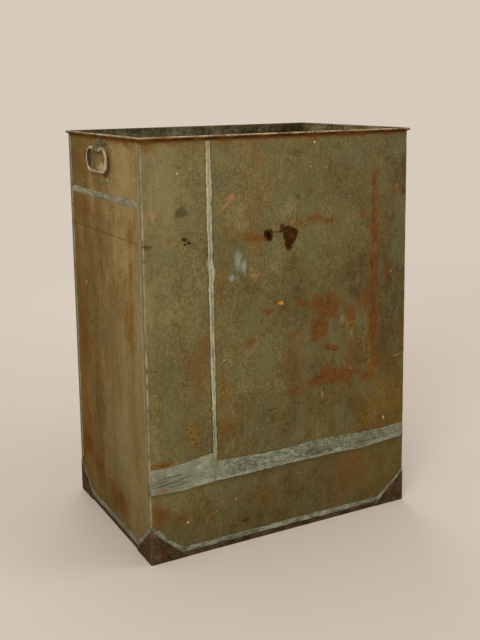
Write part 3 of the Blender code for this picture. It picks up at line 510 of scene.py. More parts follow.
# Dark of grime and of the ring's painted shadow round a handle
DARK_GRIME_AND_SHADOW = shade(48, 30, 8)
HANDLE_STAIN = shade(132, 78, 26)
RIM_DRIP = shade(118, 76, 22)
RIM_EDGE = shade(80, 48, 8)
UNDER_RIM_END = shade(84, 56, 18), shade(116, 84, 40)
UNDER_RIM_LONG = shade(66, 39, 5), shade(108, 68, 20)
# Top of the rim: wear with a painted highlight on the front and left, wear in painted shade on the
# back and right
RIM_TOP_WEAR_AND_HIGHLIGHT = shade(110, 78, 42), shade(192, 168, 132)
RIM_TOP_WEAR_IN_SHADE = shade(58, 48, 26), shade(104, 90, 60)
SEAM_GROOVE = shade(116, 120, 100)
SEAM_RIDGE = shade(186, 178, 146)
SEAM_HEAD = shade(142, 122, 72)
SEAM_FOOT = shade(104, 104, 80)
BAND_HEM_WEAR_AND_HIGHLIGHT = shade(150, 148, 120)
BAND_PALE = shade(146, 145, 120)
BAND_DULL = shade(98, 92, 56)
STEEL_RUST = shade(96, 54, 14)
STEEL_EDGE_WEAR_AND_HIGHLIGHT = shade(98, 82, 56)

# Middle of a handle's ring at rest: its height, and its distance from the trunk's middle
RING_MIDDLE = 0.692
RING_AWAY = 0.2825


def half_sizes(side):
    """Half the length of a side, and its distance from the trunk's middle."""
    return (HALF_WIDTH, HALF_DEPTH) if side in LONG_SIDES else (HALF_DEPTH, HALF_WIDTH)


def turned(coat, vector, side):
    """A place or direction turned so that the side comes to the front."""
    return coat.node(
        "ShaderNodeVectorRotate", {"Vector": vector, "Angle": -side * pi / 2, "Axis": (0, 0, 1)},
        rotation_type="AXIS_ANGLE")


def face_place(coat, side):
    """Place on a side: along it from its left-hand corner, into the wall, and up."""
    return coat.vector("ADD", turned(coat, coat.place, side), (*half_sizes(side), 0))


def split(coat, place):
    """Parts of a place along, into the wall and up."""
    parts = coat.nodes.new("ShaderNodeSeparateXYZ")
    coat.links.new(place, parts.inputs[0])
    return parts.outputs[0], parts.outputs[1], parts.outputs[2]


# How far the warping of a place can carry a mark, and how thickly specks are strewn
STRAY = 0.012
SPECKS_PER_METRE = 90.0


def marks_on(marks, side, node):
    """Those marks of a side that reach a node."""
    half_length = half_sizes(side)[0]
    turn = Matrix.Rotation(-side * pi / 2, 3, "Z")
    first, second = (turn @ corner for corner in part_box(node))
    low_along, high_along = sorted((first.x + half_length, second.x + half_length))
    low_up, high_up = first.z, second.z
    reaching = []
    for mark in marks:
        reach = max(mark.wide, mark.high) + STRAY
        beside = low_along - reach < mark.along < high_along + reach
        level = low_up - reach < mark.up < high_up + reach
        if beside and level:
            reaching.append(mark)
    return reaching


# Noises of a painted sheet that its coats share, and its place as wear carries it:
# loosely for wide marks and tightly for small ones
Ground = namedtuple("Ground", "broad mottle fine weave")
Wear = namedtuple("Wear", "loose tight torn scuff upright brushed")
TONE_REACH = 0.34


def paint_ground(coat, side, along, up):
    """Mottled paint of a side, with greener and browner patches."""
    on_end = side in ENDS
    broad = coat.grain(0.17, 3, 0.5)
    mottle = coat.grain(0.030, 6, 0.62)
    washes = coat.grain(0.042, 4, 0.5, stretch=(1, 1, 5), seed=3)
    fine = coat.grain(0.0042, 3, 0.7, seed=5)
    weft = coat.grain(0.0024, 2, 0.5, stretch=(4, 4, 1), seed=51)
    warp = coat.grain(0.0024, 2, 0.5, stretch=(1, 1, 4), seed=53)
    weave = coat.plus(weft, 0.5, coat.times(warp, 0.5))
    parts = [(broad, 0.45, 1), (mottle, 0.40, 1), (fine, 0.45, 1), (weave, 0.75, 1)]
    # Tone lighter towards the top of every side and towards the left of the front and back: the
    # trunk's own tone in part, and painted light in part. On an end the tone also grows lighter from
    # its left-hand corner.
    if on_end:
        parts += [(washes, 0.52, 1), (up, 0.16, HEIGHT), (along, 0.30, DEPTH)]
    else:
        parts += [(washes, 0.16, 1), (up, 0.22, HEIGHT), (along, -0.50, WIDTH)]
    tone = 0.0
    for value, part, reach in parts:
        tone = coat.plus(value, part, tone)
    middle = sum(part * reach for value, part, reach in parts) / 2
    tone = coat.step(tone, middle - TONE_REACH, middle + TONE_REACH)
    coat.colour = coat.ramp(tone, PAINT_STOPS, PAINT_SHADES[side])
    coat.rough = coat.blend(mottle, 0.52, 0.74)
    coat.height = coat.plus(mottle, 0.6, coat.times(weave, 0.5))
    green = coat.grain(0.040, 5, 0.62, stretch=(1, 1, 1.6), seed=43)
    green_share = coat.times(coat.step(green, 0.42, 0.64), 0.30 if on_end else 0.62)
    coat.lay(green_share, coat.mix(weave, *GREEN_PAINT))
    brown = coat.grain(0.052, 5, 0.6, stretch=(1, 1, 2.6), seed=45)
    brown_share = coat.times(coat.step(brown, 0.50, 0.70), 0.55 if on_end else 0.32)
    coat.lay(brown_share, coat.mix(weave, *BROWN_PAINT))
    return Ground(broad, mottle, fine, weave)


def drift_coats(coat, side, along, up, ground):
    """Broad drifts of other shades along a side."""
    if side in LONG_SIDES:
        ochred = coat.times(coat.step(along, 0.36, 0.50), coat.step(up, 0.40, 0.24))
        coat.lay(coat.times(ochred, 0.45), coat.mix(ground.weave, *OCHRE_PAINT))
        return
    far = coat.times(coat.step(along, 0.16, 0.02), coat.step(up, 0.70, 0.56, 0.2, 0.55))
    coat.lay(far, coat.mix(ground.weave, *FAR_PAINT))
    mossy = coat.times(coat.step(along, 0.12, 0.22), coat.step(up, 0.56, 0.32))
    mossy = coat.times(mossy, coat.step(ground.broad, 0.35, 0.6, 0.2, 0.5))
    coat.lay(mossy, coat.mix(ground.weave, *MOSSY_PAINT))
    near = coat.step(along, 0.18, 0.36, high=0.26)
    coat.lay(near, coat.mix(ground.weave, *NEAR_PAINT))


def paint_wear(coat, face):
    """Noises of the wear on a side, and its place carried loosely and tightly."""
    loose = coat.warped(face, (0.040, 0.018), (0.011, 0.011))
    tight = coat.warped(face, (0.008, 0.005))
    torn = coat.grain(0.026, 8, 0.68, seed=7)
    scuff = coat.math("SUBTRACT", torn, 0.5)
    upright = coat.grain(0.0085, 5, 0.66, stretch=(1, 1, 6), seed=9)
    brushed = coat.math("SUBTRACT", upright, 0.5)
    return Wear(loose, tight, torn, scuff, upright, brushed)


def lay_marks(coat, place, marks, start, end, breakup, colour, amount, rough, rub):
    """Lay a coat near its marks, broken up by wear."""
    if marks:
        near = coat.near(place, marks)
        share = coat.times(coat.step(near, 0.0, 0.15), breakup)
        share = coat.plus(rub, share, near)
        share = coat.times(coat.step(share, start, end), amount)
        coat.lay(share, colour, rough)


def weather_coats(coat, side, marks, ground, wear):
    """Dark, blushed, ochre and chalky marks of a side."""
    loose, scuff, brushed = wear.loose, wear.scuff, wear.brushed
    dark_amount = 0.55 if side in ENDS else 0.75
    lay_marks(coat, loose, marks.dark, 0.05, 0.45, 0.8, MOSS_DARK, dark_amount, 0.62, scuff)
    blush_tint = coat.mix(ground.weave, BLUSH_DARK, BLUSH)
    lay_marks(coat, loose, marks.blush, 0.0, 0.9, 1.2, blush_tint, 0.62, 0.75, scuff)
    streaky = coat.math("ADD", brushed, scuff)
    ochre_tint = coat.mix(coat.step(ground.fine, 0.36, 0.64), BLUSH_DARK, OCHRE)
    lay_marks(coat, loose, marks.ochre, 0.05, 0.75, 1.7, ochre_tint, 0.66, 0.7, streaky)
    lay_marks(coat, loose, marks.chalk, 0.10, 0.95, 1.4, CHALK, 0.6, 0.75, brushed)


def rust_coats(coat, rust, ground, wear):
    """Streaked rust at its marks, darker in part, with a faint blush round it."""
    if not rust:
        return
    ruddy = coat.plus(wear.brushed, 0.35, wear.scuff)
    ruddy = coat.plus(coat.math("SUBTRACT", ground.fine, 0.5), 0.5, ruddy)
    near = coat.near(wear.loose, rust)
    reach = coat.plus(coat.step(near, 0.0, 0.15), 1.3, 0.35)
    reach = coat.plus(ruddy, reach, near)
    depth = coat.plus(wear.torn, 0.9, ground.fine)
    rust_tint = coat.mix(coat.step(depth, 0.76, 1.14), RUST_DARK, RUST)
    coat.lay(coat.step(reach, 0.0, 0.5, high=0.34), BLUSH, 0.8)
    amount = coat.step(wear.upright, 0.35, 0.55, 0.58, 0.82)
    coat.lay(coat.times(coat.step(reach, 0.10, 0.62), amount), rust_tint, 0.88)


def front_coats(coat, node, wear):
    """Frosted, pink, black and golden marks of the front, and rot round its holes."""
    for marks, *values in (
            (FRONT_FROST, 0.0, 1.0, 3.0, FROST, 0.62, 0.7, wear.brushed),
            (FRONT_PINK, 0.06, 0.8, 2.6, PINK, 0.70, 0.7, wear.scuff),
            (FRONT_BLACK, 0.14, 0.42, 2.4, BLACKENED, 0.92, 0.85, wear.scuff),
            (FRONT_GOLD, 0.1, 0.8, 2.0, GOLD, 0.85, 0.6, wear.scuff)):
        lay_marks(coat, wear.tight, marks_on(marks, FRONT, node), *values)
    rot = marks_on(FRONT_ROT, FRONT, node)
    if rot:
        share = coat.plus(wear.scuff, 0.9, coat.near(wear.tight, rot))
        coat.lay(coat.step(share, 0.10, 0.30), HOLE_RUST, 0.9, -0.3)


def handle_coats(coat, ground, wear):
    """Verdigris, rubbed metal, rust and grime round a handle, with the ring's shadow painted dark on
    the wall.
    """
    green_tint = coat.mix(ground.weave, *HANDLE_VERDIGRIS)
    for place, marks, *values in (
            (wear.loose, HANDLE_GREEN, 0.06, 0.6, 2.2, green_tint, 0.85, 0.7, wear.brushed),
            (wear.tight, HANDLE_RUBBED, 0.05, 0.7, 0.9, RUBBED, 0.9, 0.6, wear.scuff),
            # Grime, with the ring's shadow painted dark round it
            (wear.tight, HANDLE_GRIME_AND_SHADOW, 0.0, 0.65, 1.1, DARK_GRIME_AND_SHADOW, 0.66, 0.85, wear.scuff),
            (wear.loose, HANDLE_RUST, 0.05, 0.6, 1.2, HANDLE_STAIN, 0.8, 0.85, wear.scuff)):
        lay_marks(coat, place, marks, *values)


def speck_coats(coat, mottle):
    """Pale specks, rusty pits and fine upright scratches."""
    specks = coat.node(
        "ShaderNodeTexVoronoi", {"Vector": coat.place, "Scale": SPECKS_PER_METRE}, "Distance")
    pick_pale, pick_dark = split(coat, specks.node.outputs["Color"])[:2]
    speck = coat.times(coat.step(specks, 0.11, 0.05), coat.step(pick_pale, 0.90, 0.93))
    coat.lay(coat.times(speck, 0.5), CHALK)
    pit = coat.times(coat.step(specks, 0.12, 0.05), coat.step(pick_dark, 0.93, 0.96))
    coat.lay(coat.times(pit, 0.5), RUST_DARK, 0.85, -0.4)
    scratches = coat.grain(0.0035, 1, 0.5, stretch=(1, 1, 18), seed=57)
    scratched = coat.times(coat.step(scratches, 0.735, 0.76), coat.step(mottle, 0.48, 0.6))
    coat.lay(coat.times(scratched, 0.4), CHALK)


def lap_coat(coat, up, ground, wear):
    """Broken rusty line where the sheets of an end lap."""
    lap = coat.math("ABSOLUTE", coat.math("SUBTRACT", up, LAP_EDGE))
    lap = coat.step(coat.plus(wear.brushed, 0.0016, lap), 0.0018, 0.0008)
    lap = coat.times(lap, coat.step(ground.mottle, 0.36, 0.60, 0.05, 0.45))
    coat.lay(lap, HOLE_RUST, 0.85)


def flange_coats(coat, along, inward, ground, wear):
    """Pale edges of the flanges that the front and back fold round onto the ends, and their corners,
    worn and painted with a highlight along the fold."""
    past = coat.math("ADD", along, inward)
    before = coat.math("ADD", coat.math("SUBTRACT", WIDTH, along), inward)
    corner = coat.math("MINIMUM", past, before)
    flange = coat.step(inward, 0.0012, 0.0018)
    flange_tint = coat.mix(ground.weave, *FLANGE_PAINT)
    edged = coat.step(coat.plus(wear.brushed, 0.006, inward), 0.0068, 0.0086)
    edged = coat.times(edged, 0.6)
    coat.lay(flange, coat.mix(edged, flange_tint, FLANGE_EDGE))
    # Pale line down each fold of the corner: wear, and a painted highlight
    corner_wear_and_highlight = coat.step(coat.plus(wear.brushed, 0.008, corner), 0.0030, 0.0006)
    patchy = coat.step(ground.mottle, 0.38, 0.56, high=0.85)
    coat.lay(coat.times(corner_wear_and_highlight, patchy), CORNER_WEAR_AND_HIGHLIGHT, 0.55)


def joint_dirt_and_shade_coat(coat, node, along, up, wear):
    """Dirt and painted shade on the front or back: under the bands, or beside the seam."""
    # Dark band just under the bands' feet: dirt, and painted shade where the bands stand proud
    if node.endswith("base_sheet"):
        dirt_and_shade = coat.step(coat.plus(wear.scuff, 0.010, up), 0.116, 0.129)
        coat.lay(coat.times(dirt_and_shade, 0.45), MOSS_DARK, 0.8)
    else:
        # Dark lines beside the seam: dirt, and the solder's painted contact shadow
        dirt_and_shade = coat.math("ABSOLUTE", coat.math("SUBTRACT", along, seam_line(coat, up)))
        dirt_and_shade = coat.step(coat.plus(wear.brushed, 0.004, dirt_and_shade), 0.0082, 0.0046)
        coat.lay(coat.times(dirt_and_shade, 0.5), MOSS_DARK, 0.8)


def sheet_paint(side, node):
    """Worn olive or brown paint on a sheet of one side, with the marks that reach it."""
    coat = Coat(node + "_paint")
    on_end = side in ENDS
    face = face_place(coat, side)
    along, inward, up = split(coat, face)
    marks = SideMarks(*(marks_on(kind, side, node) for kind in MARKS[side]))

    ground = paint_ground(coat, side, along, up)
    drift_coats(coat, side, along, up, ground)
    wear = paint_wear(coat, face)
    weather_coats(coat, side, marks, ground, wear)
    rust_coats(coat, marks.rust, ground, wear)
    if side == FRONT:
        front_coats(coat, node, wear)
    if on_end and node.endswith(("top_sheet", "handle_plate")):
        handle_coats(coat, ground, wear)
    speck_coats(coat, ground.mottle)
    lay_marks(coat, wear.tight, marks.flecks, 0.05, 0.6, 0.3, FLECK, 0.85, 0.6, wear.scuff)
    if on_end:
        lap_coat(coat, up, ground, wear)
    else:
        flange_coats(coat, along, inward, ground, wear)
        joint_dirt_and_shade_coat(coat, node, along, up, wear)
    # Darker towards the bottom of every side
    low = coat.step(coat.plus(ground.mottle, 0.06, up), 0.200, 0.040)
    foot_darkening = coat.times(low, 0.26 if on_end else 0.42)
    coat.lay(foot_darkening, coat.mix(ground.weave, *FOOT_DARKENING))

    inner = inside_coat(coat, 0.08 if on_end else -0.02)
    facing = turned(coat, coat.normal, side)
    faces_in = coat.step(split(coat, facing)[1], 0.3, 0.7)
    coat.lay(faces_in, inner, 0.7)
    rim_coats(coat, side, up, facing, wear.scuff, faces_in)
    return coat.finish(specular=0.05 if on_end else 0.15)


def inside_coat(coat, lift):
    """Blotched dark verdigris inside the trunk, browner with rust below."""
    clouds = coat.grain(0.060, 7, 0.68, seed=13)
    grit = coat.grain(0.007, 3, 0.6, seed=15)
    tone = coat.plus(grit, 0.35, coat.times(clouds, 0.8))
    tone = coat.step(tone, 0.38 - lift, 0.80 - lift)
    green = coat.ramp(tone, INSIDE_STOPS, INSIDE_SHADES)
    brown = coat.ramp(tone, INSIDE_STOPS, INSIDE_RUST_SHADES)
    up = split(coat, coat.place)[2]
    depth = coat.plus(clouds, 0.22, up)
    return coat.mix(coat.step(depth, 0.66, 0.84), brown, green)


def rim_coats(coat, side, up, facing, scuff, faces_in):
    """Rust on and under the rolled rim, green inside, and pale on top: worn, with a painted
    highlight that is brighter on the front and left.
    """
    on_end = side in ENDS
    outer = coat.plus(faces_in, -0.9, 1.0)
    drips = coat.grain(0.024, 5, 0.62, stretch=(1, 1, 2), seed=17)
    fall = coat.plus(drips, 0.034, up)
    stain = coat.step(fall, HEIGHT - 0.002, HEIGHT + 0.014)
    stain = coat.times(stain, outer)
    coat.lay(coat.times(stain, 0.58), RIM_DRIP, 0.8)
    edge = coat.plus(drips, 0.012, up)
    edge = coat.step(edge, HEIGHT - 0.0076, HEIGHT - 0.0020)
    edge = coat.times(edge, outer)
    coat.lay(coat.times(edge, 0.6 if on_end else 0.8), RIM_EDGE, 0.85)
    under = coat.plus(scuff, 0.004, up)
    under = coat.step(under, HEIGHT - 0.0082, HEIGHT - 0.0066)
    under_shades = UNDER_RIM_END if on_end else UNDER_RIM_LONG
    rust = coat.mix(coat.step(drips, 0.42, 0.62), *under_shades)
    coat.lay(coat.times(under, outer), rust, 0.85, 0.3)
    # Pale top of the rim: wear, and a painted highlight on the faces that turn up, brighter on the
    # front and left, which face the key lamp, than on the back and right
    top = coat.step(split(coat, facing)[2], -0.05, 0.55)
    patches = coat.grain(0.022, 6, 0.7, seed=19)
    top_shades = RIM_TOP_WEAR_AND_HIGHLIGHT if side in (FRONT, LEFT) else RIM_TOP_WEAR_IN_SHADE
    pale = coat.mix(coat.step(patches, 0.38, 0.64), *top_shades)
    high = coat.step(up, HEIGHT - 0.0038, HEIGHT - 0.0018)
    pale_share = coat.times(coat.times(top, high), outer)
    coat.lay(pale_share, pale, 0.55)


def seam_line(coat, up):
    """Distance of the seam from the left-hand corner at a height."""
    slant = (SEAM_FROM_CORNER_TOP - SEAM_FROM_CORNER_FOOT) / HEIGHT
    return coat.plus(up, slant, SEAM_FROM_CORNER_FOOT)


def seam_coats(coat, side):
    """Pale ridges along the seam, yellow at its head and stained like the band at its foot."""
    wavering = coat.warped(face_place(coat, side), (0.050, 0.006), (0.012, 0.0022))
    along, up = split(coat, wavering)[::2]
    away = coat.math("ABSOLUTE", coat.math("SUBTRACT", along, seam_line(coat, up)))
    middle = coat.step(away, 0.0024, 0.0006)
    coat.lay(coat.times(middle, 0.42), SEAM_GROOVE, 0.6, -0.5)
    ridge = coat.times(coat.step(away, 0.0018, 0.0027), coat.step(away, 0.0044, 0.0034))
    coat.lay(coat.times(ridge, 0.6), SEAM_RIDGE, 0.5, 0.5)
    drift = coat.grain(0.030, 4, 0.6, seed=49)
    up = coat.plus(drift, 0.06, up)
    coat.lay(coat.step(up, 0.715, 0.770, high=0.6), SEAM_HEAD)
    coat.lay(coat.step(up, 0.235, 0.195, high=0.6), SEAM_FOOT)


def band_coats(coat, side):
    """Hem rubbed bright with a painted highlight on its proud ridge, and dark creases and rust
    stains, of the bands on one side.
    """
    face = face_place(coat, side)
    inward = split(coat, face)[1]
    # Painted highlight, with wear, along the proud ridge of the hem
    hem = coat.step(inward, -0.0019, -0.0022)
    worn = coat.grain(0.016, 4, 0.62, seed=59)
    hem = coat.times(hem, coat.step(worn, 0.36, 0.54))
    coat.lay(coat.times(hem, 0.7), BAND_HEM_WEAR_AND_HIGHLIGHT, 0.55)
    lighter = coat.step(split(coat, face)[0], 0.160, 0.120)
    coat.lay(coat.times(lighter, 0.32), BAND_PALE)
    duller = coat.step(split(coat, face)[0], 0.30, 0.52)
    coat.lay(coat.times(duller, 0.35), BAND_DULL)
    crease = coat.near(coat.warped(face, (0.02, 0.002)), BAND_CREASES)
    coat.lay(coat.step(crease, 0.05, 0.5, high=0.8), CREVICE, 0.8, -0.5)
    stain = coat.near(coat.warped(face, (0.012, 0.008)), BAND_STAINS)
    coat.lay(coat.step(stain, 0.1, 0.7, high=0.65), BLUSH, 0.85)


def verdigris(name, shades, run=(1, 1, 1), cracked=0.75, band_side=None, seam_side=None):
    """Pale blue-green corroded metal with dark streaks along its run."""
    coat = Coat(name, bump=0.0009)
    blotch = coat.grain(0.016, 6, 0.68, seed=21)
    wide = coat.grain(0.070, 3, 0.5, seed=23)
    streak = coat.grain(0.0030, 4, 0.66, stretch=run, seed=25)
    grit = coat.grain(0.0022, 2, 0.6, seed=47)
    tone = coat.plus(wide, 0.4, coat.times(blotch, 0.55))
    tone = coat.plus(streak, 0.60, tone)
    tone = coat.plus(grit, 0.35, tone)
    coat.colour = coat.ramp(coat.step(tone, 0.66, 1.24), VERDIGRIS_STOPS, shades)
    coat.rough = coat.blend(blotch, 0.50, 0.78)
    coat.height = coat.plus(blotch, 0.5, coat.times(streak, 1.2))
    rusty = coat.grain(0.020, 5, 0.7, stretch=run, seed=27)
    coat.lay(coat.step(rusty, 0.62, 0.72, high=0.45), BLUSH, 0.85)
    cracks = coat.times(coat.step(streak, 0.40, 0.30), coat.step(blotch, 0.62, 0.42))
    coat.lay(coat.times(cracks, cracked), CREVICE, 0.8, -0.3)
    if seam_side is not None:
        seam_coats(coat, seam_side)
    if band_side is not None:
        band_coats(coat, band_side)
    return coat.finish(specular=0.3)


def corroded(name, shades, rust_share):
    """Bare corroded steel in the given shades, rusted in part, and pale at the trunk's upright
    corners with wear and a painted highlight.
    """
    coat = Coat(name, bump=0.0008)
    blotch = coat.grain(0.016, 6, 0.66, seed=31)
    fine = coat.grain(0.0030, 3, 0.6, seed=33)
    tone = coat.plus(fine, 0.45, coat.times(blotch, 0.7))
    coat.colour = coat.ramp(coat.step(tone, 0.36, 0.80), METAL_STOPS, shades)
    coat.rough = coat.blend(blotch, 0.55, 0.85)
    coat.height = coat.plus(blotch, 0.8, coat.times(fine, 0.4))
    rusty = coat.grain(0.026, 4, 0.65, seed=35)
    on_end = coat.math("ABSOLUTE", split(coat, coat.normal)[0])
    rusty = coat.plus(on_end, 0.12, rusty)
    coat.lay(
        coat.times(coat.step(rusty, 0.52, 0.68), rust_share), STEEL_RUST, 0.88)
    # Pale line at the trunk's upright corners: wear, and a painted highlight on the edge
    x, y = split(coat, coat.vector("ABSOLUTE", coat.place))[:2]
    corner = coat.math("SUBTRACT", HALF_WIDTH + HALF_DEPTH, coat.math("ADD", x, y))
    corner = coat.plus(blotch, 0.006, corner)
    coat.lay(coat.step(corner, 0.0052, 0.0026, high=0.3), STEEL_EDGE_WEAR_AND_HIGHLIGHT, 0.6)
    return coat.finish(specular=0.04)


def worn_wire(side):
    """Bent wire of a handle, rubbed bright outside, with shade painted dark on its inner side and
    the side towards the wall.
    """
    coat = Coat(SIDE_NAMES[side] + "_worn_wire", bump=0.0003)
    blotch = coat.grain(0.018, 5, 0.6, seed=37)
    fine = coat.grain(0.0020, 3, 0.6, seed=39)
    tone = coat.plus(fine, 0.3, coat.times(blotch, 0.8))
    coat.colour = coat.ramp(coat.step(tone, 0.34, 0.76), METAL_STOPS, WIRE_SHADES)
    coat.rough = coat.blend(blotch, 0.38, 0.62)
    coat.height = coat.plus(blotch, 0.6, coat.times(fine, 0.3))
    rusty = coat.grain(0.014, 4, 0.65, seed=41)
    coat.lay(coat.step(rusty, 0.58, 0.70, high=0.35), BLUSH_DARK, 0.8, 0.2)
    # Painted shade: darker on the ring's inner side and on the side that faces the wall
    toward = -1 if side == LEFT else 1
    ring_middle = (toward * RING_AWAY, 0, RING_MIDDLE)
    inside = coat.vector("NORMALIZE", coat.vector("SUBTRACT", ring_middle, coat.place))
    inner = coat.vector("DOT_PRODUCT", coat.normal, inside)
    behind = coat.times(split(coat, coat.normal)[0], -toward)
    hidden = coat.math("MAXIMUM", inner, behind)
    coat.lay(coat.step(hidden, 0.30, 0.72, high=0.9), WIRE_PAINTED_SHADE, 0.8)
    return coat.finish(metallic=0.15)


def on_face(side, along, proud, up):
    """Point on a side: along it from its middle, proud of its wall, and up."""
    away = half_sizes(side)[1] + proud
    return Matrix.Rotation(side * pi / 2, 3, "Z") @ Vector((along, -away, up))


def seam_at(up):
    """Place of the front seam from the middle of the front at a height."""
    share = up / HEIGHT
    from_corner = SEAM_FROM_CORNER_FOOT + share * (SEAM_FROM_CORNER_TOP - SEAM_FROM_CORNER_FOOT)
    return from_corner - HALF_WIDTH


def add_object(name, data):
    """New object in the scene, with its mesh, lamp or lens."""
    made = bpy.data.objects.new(name, data)
    bpy.context.scene.collection.objects.link(made)
    return made


def closed_strip(name, rows, looped=False):
    """Closed mesh piece from rows of (outside, inside) points; a looped one joins its ends."""
    bm = bmesh.new()
    skins = [[[bm.verts.new(pair[k]) for pair in row] for row in rows] for k in (0, 1)]
    outside, inside = skins
    last_row, last = len(rows) - 1, len(rows[0]) - 1
    steps = [(i, i + 1) for i in range(last_row)] + ([(last_row, 0)] if looped else [])
    for i, after in steps:
        for j in range(last):
            for skin in skins:
                bm.faces.new((skin[i][j], skin[i][j + 1], skin[after][j + 1], skin[after][j]))
        for j in (0, last):
            bm.faces.new((outside[i][j], outside[after][j], inside[after][j], inside[i][j]))
    for i in () if looped else (0, last_row):
        for j in range(last):
            bm.faces.new((outside[i][j], outside[i][j + 1], inside[i][j + 1], inside[i][j]))
    bmesh.ops.recalc_face_normals(bm, faces=bm.faces)
    mesh = bpy.data.meshes.new(name)
    bm.to_mesh(mesh)
    bm.free()
    mesh.shade_smooth()
    return add_object(name, mesh)


def dress(piece, node, material, body="trunk"):
    """Let a piece stand for a node, in its finish."""
    piece.data.materials.clear()
    piece.data.materials.append(material)
    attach(piece, body)
    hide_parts(node)
    return piece


def ripple(place, size, seed):
    """Smooth noise from about -1 to 1 at a place."""
    return noise.noise(Vector(place) / size + Vector((seed, seed * 0.7, seed * 1.9)))


def bump_at(value, middle, reach):
    """Smooth swelling from 0 to 1 and back round a middle."""
    away = abs(value - middle)
    return (1 + cos(pi * away / reach)) / 2 if away < reach else 0


def swelling(value, *swells):
    """Sum of swellings at a value, each given as its middle, reach and rise."""
    return sum(rise * bump_at(value, middle, reach) for middle, reach, rise in swells)


# Hand-laid solder: its steps, its edges and their waves, its lumps, and how it thins
STRIP_STEP = 0.003
LEAST_STEPS = 8
SECTION_STEPS = 8
THIN_EDGE = 0.00012
LOW_WAVE = 0.011
HIGH_WAVE = 0.010
FINE_WAVE = 0.004
FINE_SHARE = 0.6
LUMPS = ((0.28, 0.009, 11), (0.22, 0.0035, 13))
LEAST_LUMP_SHARE = 0.2
RUN_RAG = 0.0011
ROUND_POWER = 2.6
SLOPING_POWER = 1.8


def at_distance(value, distance):
    """A value at a distance: the same all along, or a function of it."""
    return value(distance) if callable(value) else value


def solder_run(node, material, place, length, low, high, base, section, seed, rag=RUN_RAG):
    """Run of solder laid by hand in place of a node.

    place(distance, offset, proud) gives its points. low and high are its edges across and
    base is what it lies on, each a number or a function of the distance. section is its
    thickness at a share across, and rag is how far its edges wander.
    """
    steps = max(LEAST_STEPS, round(length / STRIP_STEP))
    rows = []
    for k in range(steps + 1):
        distance = length * k / steps
        spot = place(distance, 0, 0)
        low_rag = ripple(spot, LOW_WAVE, seed) + FINE_SHARE * ripple(spot, FINE_WAVE, seed + 3)
        high_rag = ripple(spot, HIGH_WAVE, seed + 5) + FINE_SHARE * ripple(spot, FINE_WAVE, seed + 7)
        start = at_distance(low, distance) + rag * low_rag
        end = at_distance(high, distance) + rag * high_rag
        under = at_distance(base, distance)
        row = []
        for j in range(SECTION_STEPS + 1):
            share = j / SECTION_STEPS
            offset = start + (end - start) * share
            at = place(distance, offset, 0)
            lump = 1 + sum(part * ripple(at, size, seed + shift) for part, size, shift in LUMPS)
            rise = THIN_EDGE + (section(share) - THIN_EDGE) * max(lump, LEAST_LUMP_SHARE)
            rise = max(THIN_EDGE, rise)
            row.append((place(distance, offset, under + rise), place(distance, offset, under)))
        rows.append(row)
    return dress(closed_strip(node + "_run", rows), node, material)


def round_section(rise):
    """Section that is thick in the middle and thin at both edges."""
    return lambda share: rise * max(0, 1 - abs(2 * share - 1) ** ROUND_POWER)


def sloping_section(rise):
    """Section that is thick at its low edge and thins to the other."""
    return lambda share: rise * (1 - share ** SLOPING_POWER)


# Seam solder: half its width, with swellings by height
SEAM_HALF = 0.0044
SEAM_LEFT_SWELLS = ((0.525, 0.016, 0.0042), (0.640, 0.09, 0.0012))
SEAM_RIGHT_SWELLS = ((0.510, 0.020, 0.0048), (0.662, 0.022, 0.0016))
SEAM_NARROWINGS = ((0.230, 0.12, -0.0012), (0.140, 0.045, -0.0014))
SEAM_RISE = 0.0012
SEAM_RAG = 0.0014
SEAM_STEP_FOOT = 0.1851


def seam_half_widths(up):
    """How far the seam's solder reaches to the left and to the right at a height."""
    even = SEAM_HALF + swelling(up, *SEAM_NARROWINGS)
    return even + swelling(up, *SEAM_LEFT_SWELLS), even + swelling(up, *SEAM_RIGHT_SWELLS)


def seam_solder(side, material):
    """Solder down the seam of the front or back, stepping out over the bands."""
    node = SIDE_NAMES[side] + "_seam_solder"
    low_corner, high_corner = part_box(node)
    foot, head = low_corner.z, high_corner.z
    on_band = 2 * CLEARANCE + SHEET

    def base(distance):
        """What the solder lies on: the bands at its foot, then the sheet."""
        share = min(1, max(0, (foot + distance - SEAM_STEP_FOOT) / RECESS))
        return on_band + (CLEARANCE - on_band) * share

    return solder_run(
        node, material,
        lambda distance, offset, proud: on_face(
            side, seam_at(foot + distance) + offset, proud, foot + distance),
        head - foot,
        lambda distance: -seam_half_widths(foot + distance)[0],
        lambda distance: seam_half_widths(foot + distance)[1],
        base, round_section(SEAM_RISE), 2 + side, SEAM_RAG)


# Solder across an end: its edges from the joint, and its distance from the flanges
END_BAND_LOW = -0.0062
END_BAND_HIGH = 0.0058
END_BAND_GAP = 0.0056
END_BAND_RISE = 0.0010


def end_band(side, material):
    """Solder across an end over the joint of its sheets."""
    node = SIDE_NAMES[side] + "_band_solder"
    half = HALF_DEPTH - FLANGE - END_BAND_GAP
    base = CLEARANCE - RECESS
    return solder_run(
        node, material,
        lambda distance, offset, proud: on_face(side, distance - half, proud, END_JOINT + offset),
        2 * half, END_BAND_LOW, END_BAND_HIGH, base, round_section(END_BAND_RISE), 12 + side)


# Flange fillets: their widths, and how they swell about half way up
FRONT_FILLET_WIDTH = 0.0042
BACK_FILLET_WIDTH = 0.0024
FILLET_SWELL = (0.44, 0.34, 0.7)
FILLET_RAG = 0.0012


